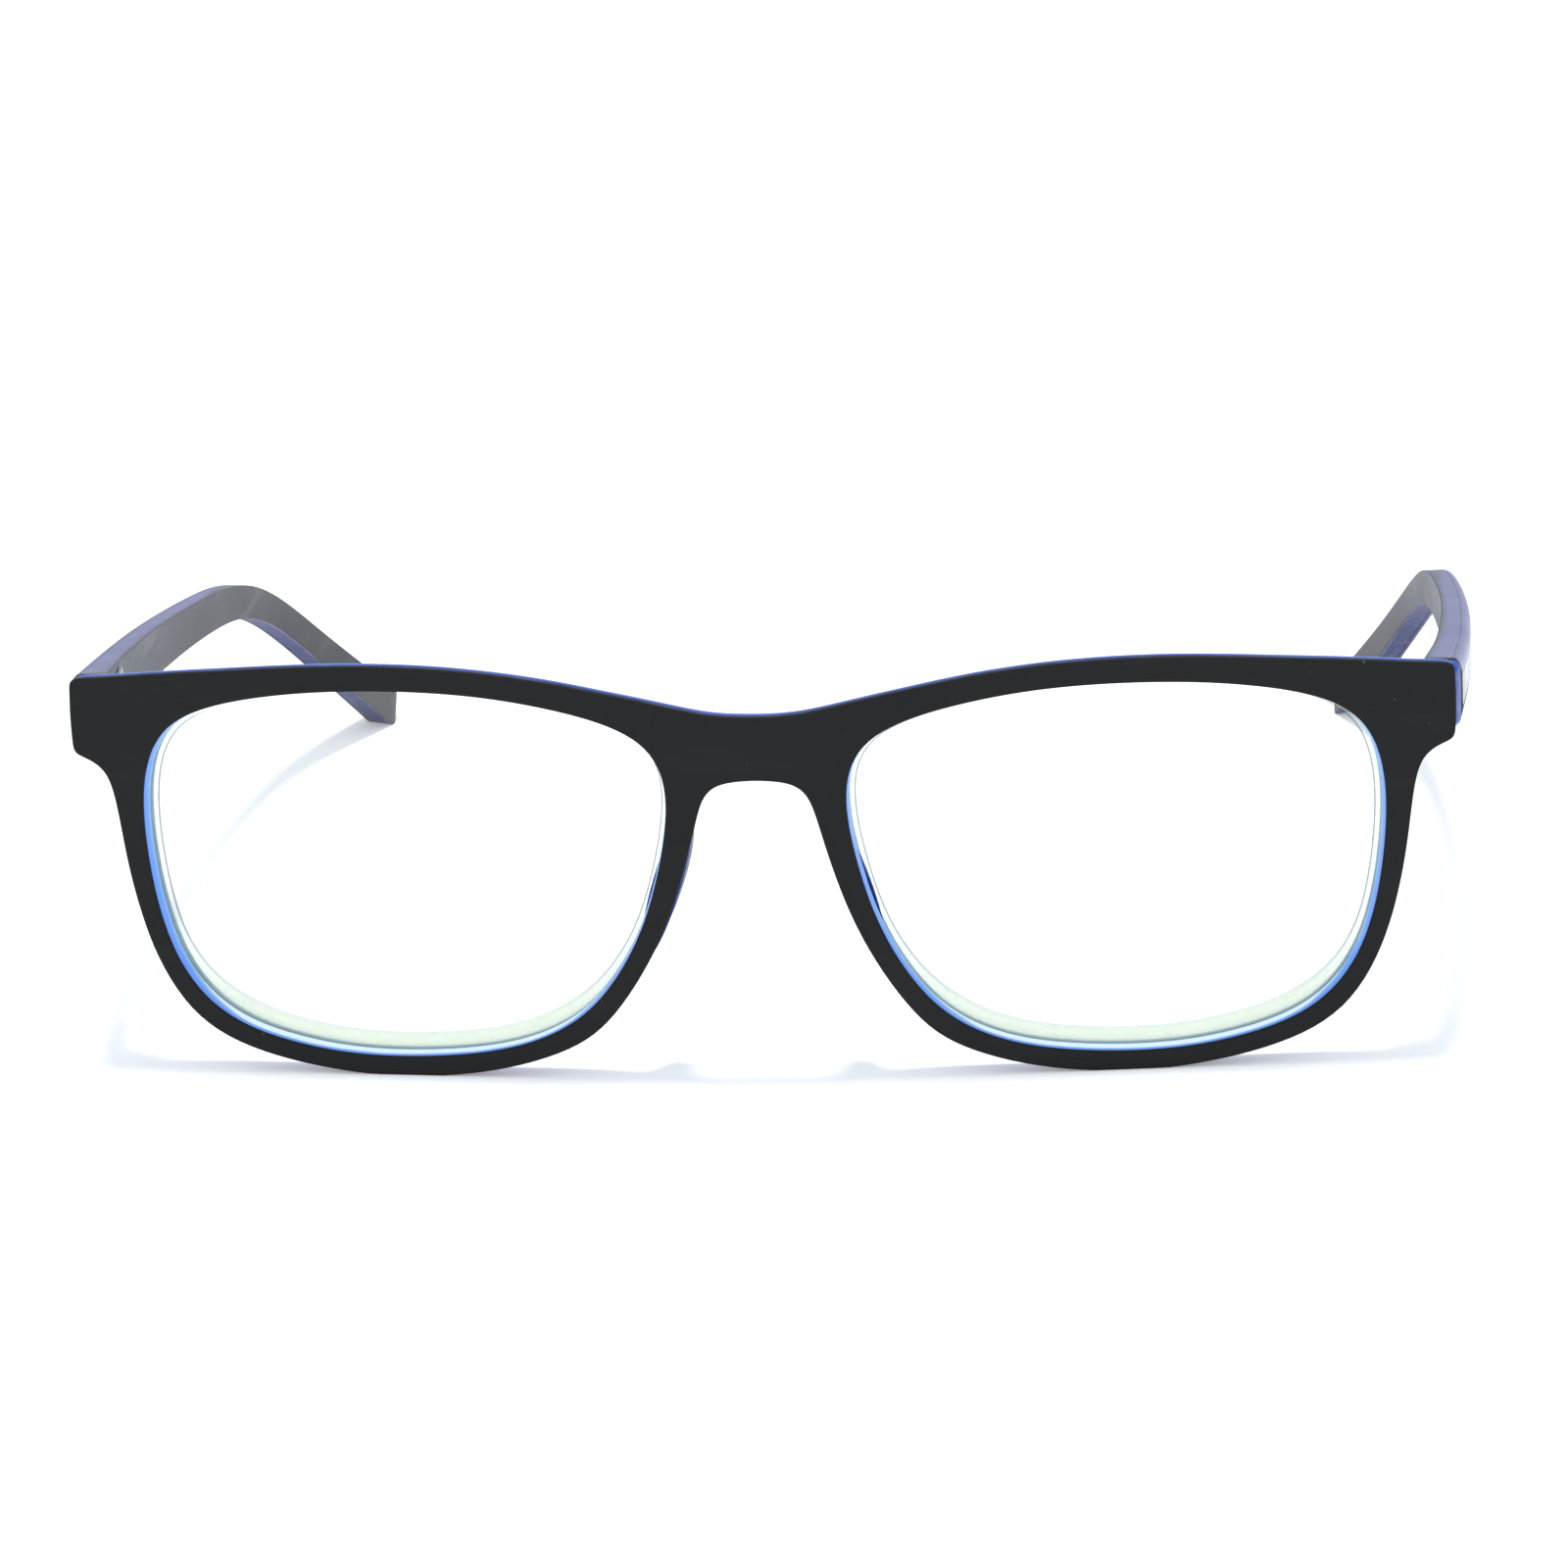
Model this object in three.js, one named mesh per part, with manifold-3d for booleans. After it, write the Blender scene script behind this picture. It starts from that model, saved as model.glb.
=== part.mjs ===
// Full-rim plastic glasses with clear blue-light lenses: a black and blue laminated front, two
// laminated temples with wire cores, and two three-knuckle hinges.
// Millimetres, +Z up. The front faces -Y and the temples point to +Y. The wearer's left is +X.
// The glasses stand open on the bottoms of both rims and on both temple tips, at z = 0.
import * as THREE from 'three';
import { mergeVertices } from 'three/addons/utils/BufferGeometryUtils.js';
import { TessellateModifier } from 'three/addons/modifiers/TessellateModifier.js';
import Module from 'manifold-3d';

const wasm = await Module();
wasm.setup();

// ---------------------------------------------------------------- driving dimensions

// The front is drawn flat, across U and up V, with its depth W counted back from the face, and is
// then rolled round a vertical cylinder behind it.
const WRAP_RADIUS = 377;
const FRONT_Y = -65.9;
const MAX_EDGE = 12;

const FACE_THICKNESS = 0.4;
const BOND_GAP = 0.1;
const CORE_FRONT = FACE_THICKNESS + BOND_GAP;
const CORE_BACK = 3.3;

// Half of the front's outline, on the wearer's left: spline control points from the top of the
// bridge, over the brow to the end piece, round the rim and up the nose to the bridge's underside.
const FRONT_HALF = [
  [1.5, 37.5], [4.8, 37.7], [10, 38.9], [16.2, 40.2], [22.7, 41.5], [31.8, 42.5], [42.1, 42.6],
  [52, 41.9], [60.9, 41.2], [67.4, 40.5], [69.5, 40.5], [69.5, 39.2], [69.6, 36.6], [69.5, 33.9],
  [69.4, 32.6], [68, 32.2], [66, 31], [65.2, 27.9], [64.7, 23.7], [63.9, 18.6], [62, 11.5],
  [58.1, 5], [51.5, 1.8], [42.7, 0.1], [35.7, -0.3], [27.2, 0.4], [19.2, 2.8], [15, 6.1],
  [10.4, 13.3], [7.9, 19.8], [6.3, 25.7], [5.4, 29.3], [3.8, 30.7], [1, 31],
];

// The left lens opening in the black face, from its nose side round by the bottom.
const OPENING = [
  [10, 21], [12.3, 14], [16.8, 7], [22.6, 3.6], [29.5, 2.1], [39.7, 1.7], [47.6, 2.8],
  [55.6, 5.4], [60.7, 12.1], [62.6, 23.5], [62.4, 31.6], [59.2, 37.1], [50, 39.3], [40.9, 40.1],
  [30, 40], [20.6, 38.6], [10.9, 35.8], [8.3, 30],
];
const OPENING_CENTRE = [35.6, 21.5];

// The core reaches into the opening as a lip, and holds the lens in a groove behind it.
const LIP = 0.2;
const GROOVE = { reach: 0.35, front: 1.85, back: 2.85 };

// Lens section: how far each ring stands outside the opening's edge, and its depth.
const LENS_FRONT_RINGS = [[0.15, 2.6], [0.15, 2.15], [-0.3, 1.95]];
const LENS_BACK_RINGS = [[-0.35, 2.8], [-1.5, 3.66]];
const LENS_BACK = 3.66;
const LENS_FRONT = 1.95;
const LENS_DOME = 0.9;

// Moulded nose pads: half sizes across, back and up, their centre, and how far they lean and splay.
const PAD = { half: [1.35, 2.6, 6.2], centre: [9.5, 4.5, 19.6], lean: 18, splay: 24 };

// The end piece's block behind the front, which carries the hinge and meets the temple's end.
const BLOCK = { inner: 60.5, outer: 69.6, low: 32.7, high: 39.6, front: 7.7, back: 10.9 };

// Temple: places along it, as distance behind the front's face, distance from the middle, height
// above the floor, section height and section thickness.
const TEMPLE_ROWS = [
  [11.1, 67.8, 36.15, 6.8, 3.8], [25, 68.5, 34.4, 5.5, 3.4], [39, 68.6, 32.5, 5.2, 3.2],
  [52.5, 68.5, 30.6, 4.9, 3], [66, 68, 28.7, 4.4, 2.9], [80, 67, 26.8, 3.9, 2.9],
  [94.2, 65.7, 24.4, 3.6, 3], [107.2, 63.9, 19, 3.4, 3.2], [118, 60.3, 11, 3.7, 3.5],
  [129, 55.3, 1.9, 4.6, 3.9],
];
const TEMPLE_STEPS = 2;
const TIP_ROUNDING = [[0.9, 0.94], [1.7, 0.78], [2.3, 0.5]];
const OUTER_BEVEL = { across: 0.9, share: 0.24 };
const INNER_BEVEL = 0.25;
const VENEER = 0.3;
const VENEER_MARGIN = 0.35;
const VENEER_END = 17;
const WIRE = { radius: 0.55, clearance: 0.12, offset: 0.3, first: 1, last: 15 };

// Hinge: the pin's place, the knuckles' spans up the pin, and the two leaves.
const PIVOT = [64.3, 12.5];
const KNUCKLE_RADIUS = 1.1;
const LOWER_KNUCKLE = [33.1, 34.4];
const MIDDLE_KNUCKLE = [34.5, 36.1];
const UPPER_KNUCKLE = [36.2, 37.2];
const BORE_RADIUS = 0.62;
const PIN = { radius: 0.54, head: 0.95, headHeight: 0.25, below: 0.2 };
const FRONT_LEAF = { x: [-3.6, -1.2], y: [-1.5, -0.7], z: [33.1, 37.2] };
const TEMPLE_LEAF = { x: [1.2, 2], y: [1.5, 9.2], z: [33.5, 37.3], turn: -3.8 };
const LEAF_POCKET = 0.15;
const SCREW = { shaft: 0.38, hole: 0.5, head: 0.72, headHeight: 0.35, length: 2.1, gap: 0.05 };
const FRONT_SCREWS = [[-2.4, 34.2], [-2.4, 36.1]];
const TEMPLE_SCREWS = [[3.4, 36.2], [7.2, 34.8]];

const BLACK = { color: 0x242425, roughness: 0.62, metalness: 0 };
const BLUE = { color: 0x2b55a6, roughness: 0.35, metalness: 0 };
const CLEAR = { color: 0xf2f8f4, roughness: 0.05, metalness: 0, opacity: 0.35, transparent: true };
const STEEL = { color: 0xb9bbbe, roughness: 0.3, metalness: 1 };

// ---------------------------------------------------------------- general helpers

// A uniform cubic spline's value between control rows i and i + 1.
function splineBetween(rows, i, t, rowAt) {
  const weights = [
    (1 - t) ** 3 / 6,
    (3 * t ** 3 - 6 * t ** 2 + 4) / 6,
    (-3 * t ** 3 + 3 * t ** 2 + 3 * t + 1) / 6,
    t ** 3 / 6,
  ];
  return rows[0].map((_, axis) =>
    weights.reduce((sum, weight, k) => sum + weight * rowAt(i - 1 + k)[axis], 0));
}

function closedSpline(rows, steps) {
  const rowAt = (i) => rows[(i + rows.length) % rows.length];
  const loop = [];
  for (let i = 0; i < rows.length; i++) {
    for (let s = 0; s < steps; s++) loop.push(splineBetween(rows, i, s / steps, rowAt));
  }
  return loop;
}

// An open spline that starts at its first row and ends at its last.
function openSpline(rows, steps) {
  const last = rows.length - 1;
  const beyond = (end, next) => end.map((value, axis) => 2 * value - next[axis]);
  const rowAt = (i) => {
    if (i < 0) return beyond(rows[0], rows[1]);
    if (i > last) return beyond(rows[last], rows[last - 1]);
    return rows[i];
  };
  const places = [];
  for (let i = 0; i < last; i++) {
    for (let s = 0; s < steps; s++) places.push(splineBetween(rows, i, s / steps, rowAt));
  }
  places.push(rows[last]);
  return places;
}

// Moves a counter-clockwise loop outwards by a small distance.
function offsetLoop(loop, distance) {
  return loop.map(([u, v], i) => {
    const before = loop[(i - 1 + loop.length) % loop.length];
    const after = loop[(i + 1) % loop.length];
    const along = [after[0] - before[0], after[1] - before[1]];
    const length = Math.hypot(...along);
    return [u + (along[1] / length) * distance, v - (along[0] / length) * distance];
  });
}

function weld(geometry) {
  const bare = geometry.clone();
  bare.deleteAttribute('normal');
  bare.deleteAttribute('uv');
  return mergeVertices(bare, 1e-5);
}

function toSolid(geometry) {
  const bare = weld(geometry);
  return new wasm.Manifold(new wasm.Mesh({
    numProp: 3,
    vertProperties: new Float32Array(bare.attributes.position.array),
    triVerts: new Uint32Array(bare.index.array),
  }));
}

function toGeometry(solid) {
  const mesh = solid.getMesh();
  const geometry = new THREE.BufferGeometry();
  geometry.setAttribute('position', new THREE.BufferAttribute(mesh.vertProperties, 3));
  geometry.setIndex(new THREE.BufferAttribute(mesh.triVerts, 1));
  return geometry;
}

function cut(geometry, ...cutters) {
  const result = cutters.reduce((solid, cutter) => solid.subtract(toSolid(cutter)), toSolid(geometry));
  return toGeometry(result);
}

function join(geometry, ...others) {
  return toGeometry(others.reduce((solid, other) => solid.add(toSolid(other)), toSolid(geometry)));
}

// A closed skin over rings of equal length, with a flat cap on the first and the last.
function loft(rings) {
  const count = rings[0].length;
  const positions = rings.flat(2);
  const faces = [];
  for (let r = 0; r < rings.length - 1; r++) {
    for (let i = 0; i < count; i++) {
      const a = r * count + i;
      const b = r * count + (i + 1) % count;
      faces.push(a, b, b + count, a, b + count, a + count);
    }
  }
  const lastRing = (rings.length - 1) * count;
  for (let i = 1; i < count - 1; i++) {
    faces.push(0, i + 1, i, lastRing, lastRing + i, lastRing + i + 1);
  }
  return facingOut(positions, faces);
}

// Turns the faces round if they enclose a negative volume.
function facingOut(positions, faces) {
  const corner = (k) => new THREE.Vector3().fromArray(positions, faces[k] * 3);
  let volume = 0;
  for (let k = 0; k < faces.length; k += 3) {
    volume += corner(k).dot(corner(k + 1).cross(corner(k + 2)));
  }
  const turned = volume > 0 ? faces : [...faces].reverse();
  const geometry = new THREE.BufferGeometry();
  geometry.setAttribute('position', new THREE.Float32BufferAttribute(positions, 3));
  geometry.setIndex(turned);
  return geometry;
}

function mirrored(geometry) {
  const bare = weld(geometry);
  bare.scale(-1, 1, 1);
  bare.setIndex([...bare.index.array].reverse());
  return bare;
}

// A block between low and high corners.
function block([x0, x1], [y0, y1], [z0, z1]) {
  return new THREE.BoxGeometry(x1 - x0, y1 - y0, z1 - z0)
    .translate((x0 + x1) / 2, (y0 + y1) / 2, (z0 + z1) / 2);
}

function uprightCylinder(radius, [low, high], sides = 20) {
  return new THREE.CylinderGeometry(radius, radius, high - low, sides)
    .rotateX(Math.PI / 2)
    .translate(0, 0, (low + high) / 2);
}

// ---------------------------------------------------------------- the front

// Extrudes a loop drawn across U and up V, between two depths behind the face.
function flatPlate(loop, front, back, holes = []) {
  const shape = new THREE.Shape(loop.map(([u, v]) => new THREE.Vector2(u, v)));
  shape.holes = holes.map((hole) => new THREE.Path(hole.map(([u, v]) => new THREE.Vector2(u, v))));
  return new THREE.ExtrudeGeometry(shape, { depth: back - front, bevelEnabled: false })
    .rotateX(Math.PI / 2)
    .translate(0, back, 0);
}

function wrapPoint(u, w, v) {
  const angle = u / WRAP_RADIUS;
  const reach = WRAP_RADIUS - w;
  return [reach * Math.sin(angle), FRONT_Y + WRAP_RADIUS - reach * Math.cos(angle), v];
}

// Rolls flat geometry round the wrap cylinder, after splitting its long edges.
function wrap(geometry) {
  const fine = new TessellateModifier(MAX_EDGE, 8).modify(weld(geometry).toNonIndexed());
  const bent = weld(fine);
  const position = bent.attributes.position;
  for (let i = 0; i < position.count; i++) {
    position.setXYZ(i, ...wrapPoint(position.getX(i), position.getY(i), position.getZ(i)));
  }
  return bent;
}

// The rims' bottoms are trimmed flat at the floor.
function frontLoop() {
  const otherHalf = FRONT_HALF.map(([u, v]) => [-u, v]).reverse();
  const loop = closedSpline([...FRONT_HALF, ...otherHalf], 2);
  return loop.map(([u, v]) => [u, Math.max(v, 0)]).reverse();
}

const leftOpening = closedSpline(OPENING, 3);
const rightOpening = leftOpening.map(([u, v]) => [-u, v]).reverse();
const openings = [leftOpening, rightOpening];

function blackFace() {
  return wrap(flatPlate(frontLoop(), 0, FACE_THICKNESS, openings));
}

function nosePad(side) {
  const pad = new THREE.SphereGeometry(1, 14, 10).rotateX(Math.PI / 2).scale(...PAD.half);
  pad.rotateZ(THREE.MathUtils.degToRad(-PAD.splay));
  pad.rotateY(THREE.MathUtils.degToRad(-PAD.lean));
  pad.translate(...PAD.centre);
  return side > 0 ? pad : mirrored(pad);
}

// A quarter-rounded block whose back face stands square to the temple.
function endBlock(side) {
  const section = (inner, outer, low, high, y) => {
    const r = 0.9;
    return [
      [inner, y, low], [outer - r, y, low], [outer - 0.3 * r, y, low + 0.3 * r], [outer, y, low + r],
      [outer, y, high - r], [outer - 0.3 * r, y, high - 0.3 * r], [outer - r, y, high],
      [inner, y, high],
    ].map(([x, depth, z]) => [x, FRONT_Y + depth, z]);
  };
  const { inner, outer, low, high, front, back } = BLOCK;
  const geometry = loft([
    section(inner + 1, outer - 0.6, low + 0.4, high - 0.1, front),
    section(inner, outer, low, high, back),
  ]);
  return side > 0 ? geometry : mirrored(geometry);
}

function blueCore() {
  const plate = flatPlate(frontLoop(), CORE_FRONT, CORE_BACK);
  const throughCuts = openings.map((loop) => flatPlate(offsetLoop(loop, -LIP), -1, LENS_BACK + 0.3));
  const grooves = openings.map((loop) =>
    flatPlate(offsetLoop(loop, GROOVE.reach), GROOVE.front, GROOVE.back));
  const flat = cut(join(plate, nosePad(1), nosePad(-1)), ...throughCuts, ...grooves);
  const whole = join(wrap(flat), endBlock(1), endBlock(-1));
  const screwHoles = [1, -1].flatMap((side) => frontScrewPlaces(side, SCREW.hole, 0.3));
  return cut(whole, ...screwHoles);
}

// A lens is a stack of rings: its edge sits in the groove, and both faces are domed.
function lens(side) {
  const [centreU, centreV] = OPENING_CENTRE;
  const shrunk = (loop, scale) =>
    loop.map(([u, v]) => [centreU + (u - centreU) * scale, centreV + (v - centreV) * scale]);
  const domed = (depth, scale) => depth - LENS_DOME * (1 - scale ** 2);
  const edge = LENS_FRONT_RINGS[LENS_FRONT_RINGS.length - 1][0];
  const backEdge = LENS_BACK_RINGS[LENS_BACK_RINGS.length - 1][0];
  const frontInner = [0.75, 0.5, 0.25].map((scale) =>
    ({ loop: shrunk(offsetLoop(leftOpening, edge), scale), depth: domed(LENS_FRONT, scale) }));
  const backInner = [0.25, 0.5, 0.75].map((scale) =>
    ({ loop: shrunk(offsetLoop(leftOpening, backEdge), scale), depth: domed(LENS_BACK, scale) }));
  const ringAt = ([out, depth]) => ({ loop: offsetLoop(leftOpening, out), depth });
  const rings = [
    ...frontInner.reverse(), ...LENS_FRONT_RINGS.map(ringAt).reverse(),
    ...LENS_BACK_RINGS.map(ringAt), ...backInner.reverse(),
  ];
  const geometry = loft(rings.map(({ loop, depth }) => loop.map(([u, v]) => wrapPoint(u, depth, v))));
  return side > 0 ? geometry : mirrored(geometry);
}

// ---------------------------------------------------------------- the temples

// Frames along the left temple, with a rounded tip: place, up, outward, height and thickness.
function templeFrames() {
  const rows = openSpline(TEMPLE_ROWS, TEMPLE_STEPS);
  const frames = rows.map((row, i) => {
    const before = rows[Math.max(i - 1, 0)];
    const after = rows[Math.min(i + 1, rows.length - 1)];
    const ahead = new THREE.Vector3(after[1] - before[1], after[0] - before[0], after[2] - before[2]);
    ahead.normalize();
    return {
      place: new THREE.Vector3(row[1], FRONT_Y + row[0], row[2]),
      ahead,
      up: new THREE.Vector3(0, -ahead.z, ahead.y).normalize(),
      outward: new THREE.Vector3(ahead.y, -ahead.x, 0).normalize(),
      height: row[3],
      thickness: row[4],
    };
  });
  // The front end is cut square, to meet the end piece's block.
  frames[0].up.set(0, 0, 1);
  frames[0].outward.set(1, 0, 0);
  const tip = frames[frames.length - 1];
  for (const [distance, share] of TIP_ROUNDING) {
    frames.push({
      ...tip,
      place: tip.place.clone().addScaledVector(tip.ahead, distance),
      height: tip.height * share,
      thickness: tip.thickness * share,
    });
  }
  return frames;
}

const frames = templeFrames();

// A point of a temple section, across and up from its middle, kept above the floor.
function sectionPoint(frame, across, rise) {
  const point = frame.place.clone()
    .addScaledVector(frame.outward, across)
    .addScaledVector(frame.up, rise);
  return [point.x, point.y, Math.max(point.z, 0)];
}

function bevelledSection(frame) {
  const side = frame.thickness / 2;
  const top = frame.height / 2;
  const drop = frame.height * OUTER_BEVEL.share;
  const outer = side - OUTER_BEVEL.across * Math.min(1, frame.thickness / 3);
  const corners = [
    [-side, INNER_BEVEL - top], [-side, top - INNER_BEVEL], [INNER_BEVEL - side, top], [outer, top],
    [side, top - drop], [side, drop - top], [outer, -top], [INNER_BEVEL - side, -top],
  ];
  return corners.map(([across, rise]) => sectionPoint(frame, across, rise));
}

// A strip let into one broad face of the temple, or the cutter for it when grown by a clearance.
function veneer(face, clearance) {
  const strips = frames.slice(0, VENEER_END).map((frame, i) => {
    const surface = frame.thickness / 2;
    const margin = face < 0 ? VENEER_MARGIN : frame.height * OUTER_BEVEL.share + 0.1;
    const half = frame.height / 2 - margin + clearance;
    const deep = face * (surface - VENEER - clearance);
    const proud = face * (surface + (clearance > 0 ? 1 : 0));
    const shifted = { ...frame, place: frame.place.clone() };
    const isEnd = i === 0 || i === VENEER_END - 1;
    if (isEnd) shifted.place.addScaledVector(frame.ahead, i === 0 ? -clearance * 5 : clearance);
    return [[deep, -half], [proud, -half], [proud, half], [deep, half]]
      .map(([across, rise]) => sectionPoint(shifted, across, rise));
  });
  return loft(strips);
}

// The reinforcing wire, or its channel, which is open at the temple's front end.
function wireRod(radius, first, last) {
  const sides = 8;
  const rings = [];
  for (let i = first; i <= last; i++) {
    const ring = [];
    for (let k = 0; k < sides; k++) {
      const angle = (2 * Math.PI * k) / sides;
      const across = WIRE.offset + radius * Math.cos(angle);
      ring.push(sectionPoint(frames[i], across, radius * Math.sin(angle)));
    }
    rings.push(ring);
  }
  return loft(rings);
}

function wireChannel() {
  const channel = wireRod(WIRE.radius + WIRE.clearance, 0, WIRE.last);
  const mouth = frames[0].place;
  const plug = new THREE.CylinderGeometry(WIRE.radius, WIRE.radius, 1.6, 8)
    .translate(mouth.x + WIRE.offset, mouth.y, mouth.z);
  return join(channel, plug);
}

function templeCore() {
  const body = loft(frames.map(bevelledSection));
  const strips = [veneer(-1, BOND_GAP), veneer(1, BOND_GAP)];
  return cut(body, ...strips, wireChannel(), leafPocket(), ...templeScrewPlaces(SCREW.hole, 0.3));
}

function innerVeneer() {
  return cut(veneer(-1, 0), leafPocket(), ...templeScrewPlaces(SCREW.hole, 0.3));
}

// ---------------------------------------------------------------- the hinges

function atPivot(geometry) {
  return geometry.translate(PIVOT[0], FRONT_Y + PIVOT[1], 0);
}

function frontLeaf() {
  const plate = block(FRONT_LEAF.x, FRONT_LEAF.y, FRONT_LEAF.z);
  const webs = [LOWER_KNUCKLE, UPPER_KNUCKLE].map((span) =>
    block([FRONT_LEAF.x[1] - 0.4, 0], [FRONT_LEAF.y[0], 0.4], span));
  const knuckles = [LOWER_KNUCKLE, UPPER_KNUCKLE].map((span) => uprightCylinder(KNUCKLE_RADIUS, span));
  const bore = uprightCylinder(BORE_RADIUS, [32, 41], 16);
  const holes = frontScrewPlaces(1, SCREW.hole, 0.3, false);
  const whole = cut(join(plate, ...webs, ...knuckles), bore);
  return cut(atPivot(whole), ...holes);
}

function turnLeaf(geometry) {
  return geometry.rotateZ(THREE.MathUtils.degToRad(TEMPLE_LEAF.turn));
}

function templeLeaf() {
  const plate = block(TEMPLE_LEAF.x, TEMPLE_LEAF.y, TEMPLE_LEAF.z);
  const web = block([0, TEMPLE_LEAF.x[1]], [0.1, TEMPLE_LEAF.y[0] + 0.5], MIDDLE_KNUCKLE);
  const knuckle = uprightCylinder(KNUCKLE_RADIUS, MIDDLE_KNUCKLE);
  const whole = cut(join(plate, web, knuckle), uprightCylinder(BORE_RADIUS, [32, 41], 16));
  return cut(atPivot(turnLeaf(whole)), ...templeScrewPlaces(SCREW.hole, 0.3));
}

// The pocket that lets the temple's leaf and its web into the temple's inner face.
function leafPocket() {
  const grow = ([low, high]) => [low - LEAF_POCKET, high + LEAF_POCKET];
  const plate = block(grow(TEMPLE_LEAF.x), grow(TEMPLE_LEAF.y), grow(TEMPLE_LEAF.z));
  const web = block(grow([0, TEMPLE_LEAF.x[1]]), grow([0.1, TEMPLE_LEAF.y[0] + 0.5]), grow(MIDDLE_KNUCKLE));
  return atPivot(turnLeaf(join(plate, web)));
}

// The pin is a screw with a low head over the upper knuckle.
function hingeScrew() {
  const bottom = LOWER_KNUCKLE[0] - PIN.below;
  const top = UPPER_KNUCKLE[1] + 0.06;
  const profile = [
    [0, bottom], [PIN.radius, bottom], [PIN.radius, top], [PIN.head, top],
    [PIN.head, top + PIN.headHeight * 0.6], [PIN.head * 0.75, top + PIN.headHeight],
    [0, top + PIN.headHeight],
  ];
  const turned = new THREE.LatheGeometry(profile.map(([r, z]) => new THREE.Vector2(r, z)), 12);
  return atPivot(turned.rotateX(Math.PI / 2));
}

// A leaf screw along +Y from its head's underside at the origin.
function leafScrew() {
  const profile = [
    [0, SCREW.length], [SCREW.shaft, SCREW.length], [SCREW.shaft, 0], [SCREW.head, 0],
    [SCREW.head, -SCREW.headHeight * 0.5], [SCREW.head * 0.7, -SCREW.headHeight],
    [0, -SCREW.headHeight],
  ];
  return new THREE.LatheGeometry(profile.reverse().map(([r, y]) => new THREE.Vector2(r, y)), 8);
}

function screwHole(radius, extra) {
  return new THREE.CylinderGeometry(radius, radius, SCREW.length + extra + 1, 8)
    .translate(0, (SCREW.length + extra - 1) / 2, 0);
}

// Front leaf screws run forwards into the end block.
function placeFrontScrew(geometry, [x, z], side) {
  const placed = atPivot(geometry.rotateX(Math.PI).translate(x, FRONT_LEAF.y[1] + SCREW.gap, z));
  return side > 0 ? placed : mirrored(placed);
}

function frontScrewPlaces(side, radius, extra) {
  return FRONT_SCREWS.map((place) => placeFrontScrew(screwHole(radius, extra), place, side));
}

// Temple leaf screws run outwards into the temple.
function placeTempleScrew(geometry, [y, z]) {
  const placed = geometry.rotateZ(-Math.PI / 2).translate(TEMPLE_LEAF.x[0] - SCREW.gap, y, z);
  return atPivot(turnLeaf(placed));
}

function templeScrewPlaces(radius, extra) {
  return TEMPLE_SCREWS.map((place) => placeTempleScrew(screwHole(radius, extra), place));
}

// ---------------------------------------------------------------- assembly

const glasses = new THREE.Group();

function addPiece(name, geometry, finish) {
  const mesh = new THREE.Mesh(geometry, new THREE.MeshStandardMaterial(finish));
  mesh.name = name;
  glasses.add(mesh);
}

addPiece('front_face', blackFace(), BLACK);
addPiece('front_core', blueCore(), BLUE);

for (const side of [1, -1]) {
  const hand = side > 0 ? 'left' : 'right';
  const sided = (geometry) => (side > 0 ? geometry : mirrored(geometry));
  addPiece(`${hand}_lens`, lens(side), CLEAR);
  addPiece(`${hand}_temple_core`, sided(templeCore()), BLUE);
  addPiece(`${hand}_temple_outer_face`, sided(veneer(1, 0)), BLACK);
  addPiece(`${hand}_temple_inner_face`, sided(innerVeneer()), BLACK);
  addPiece(`${hand}_temple_core_wire`, sided(wireRod(WIRE.radius, WIRE.first, WIRE.last - 1)), STEEL);
  addPiece(`${hand}_front_hinge_leaf`, sided(frontLeaf()), STEEL);
  addPiece(`${hand}_temple_hinge_leaf`, sided(templeLeaf()), STEEL);
  addPiece(`${hand}_hinge_screw`, sided(hingeScrew()), STEEL);
  FRONT_SCREWS.forEach((place, i) => {
    addPiece(`${hand}_front_leaf_screw_${i + 1}`, placeFrontScrew(leafScrew(), place, side), STEEL);
  });
  TEMPLE_SCREWS.forEach((place, i) => {
    addPiece(`${hand}_temple_leaf_screw_${i + 1}`, sided(placeTempleScrew(leafScrew(), place)), STEEL);
  });
}

export default glasses;
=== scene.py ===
"""Full-rim plastic glasses with clear blue-light lenses, standing open on a white table.

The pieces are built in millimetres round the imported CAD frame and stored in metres. The front faces
-Y, the temples point to +Y, and the wearer's left is +X."""
import math

import bmesh
import bpy
from mathutils import Matrix, Vector
from mathutils.geometry import delaunay_2d_cdt
from mathutils.kdtree import KDTree


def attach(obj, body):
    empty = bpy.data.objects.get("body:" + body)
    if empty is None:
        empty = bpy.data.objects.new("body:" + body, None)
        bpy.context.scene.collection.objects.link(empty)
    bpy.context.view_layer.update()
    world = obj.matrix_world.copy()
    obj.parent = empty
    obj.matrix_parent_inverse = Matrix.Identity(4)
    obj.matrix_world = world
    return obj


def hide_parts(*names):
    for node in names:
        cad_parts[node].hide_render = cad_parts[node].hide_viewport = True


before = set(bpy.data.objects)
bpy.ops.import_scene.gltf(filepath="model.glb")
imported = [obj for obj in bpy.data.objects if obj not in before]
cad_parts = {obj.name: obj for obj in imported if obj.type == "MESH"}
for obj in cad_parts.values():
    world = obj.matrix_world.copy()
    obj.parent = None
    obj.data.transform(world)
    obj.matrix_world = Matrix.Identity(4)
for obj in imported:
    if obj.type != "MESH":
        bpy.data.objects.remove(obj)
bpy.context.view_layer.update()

MM = 0.001

# -------------------- dimensions, in millimetres

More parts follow.
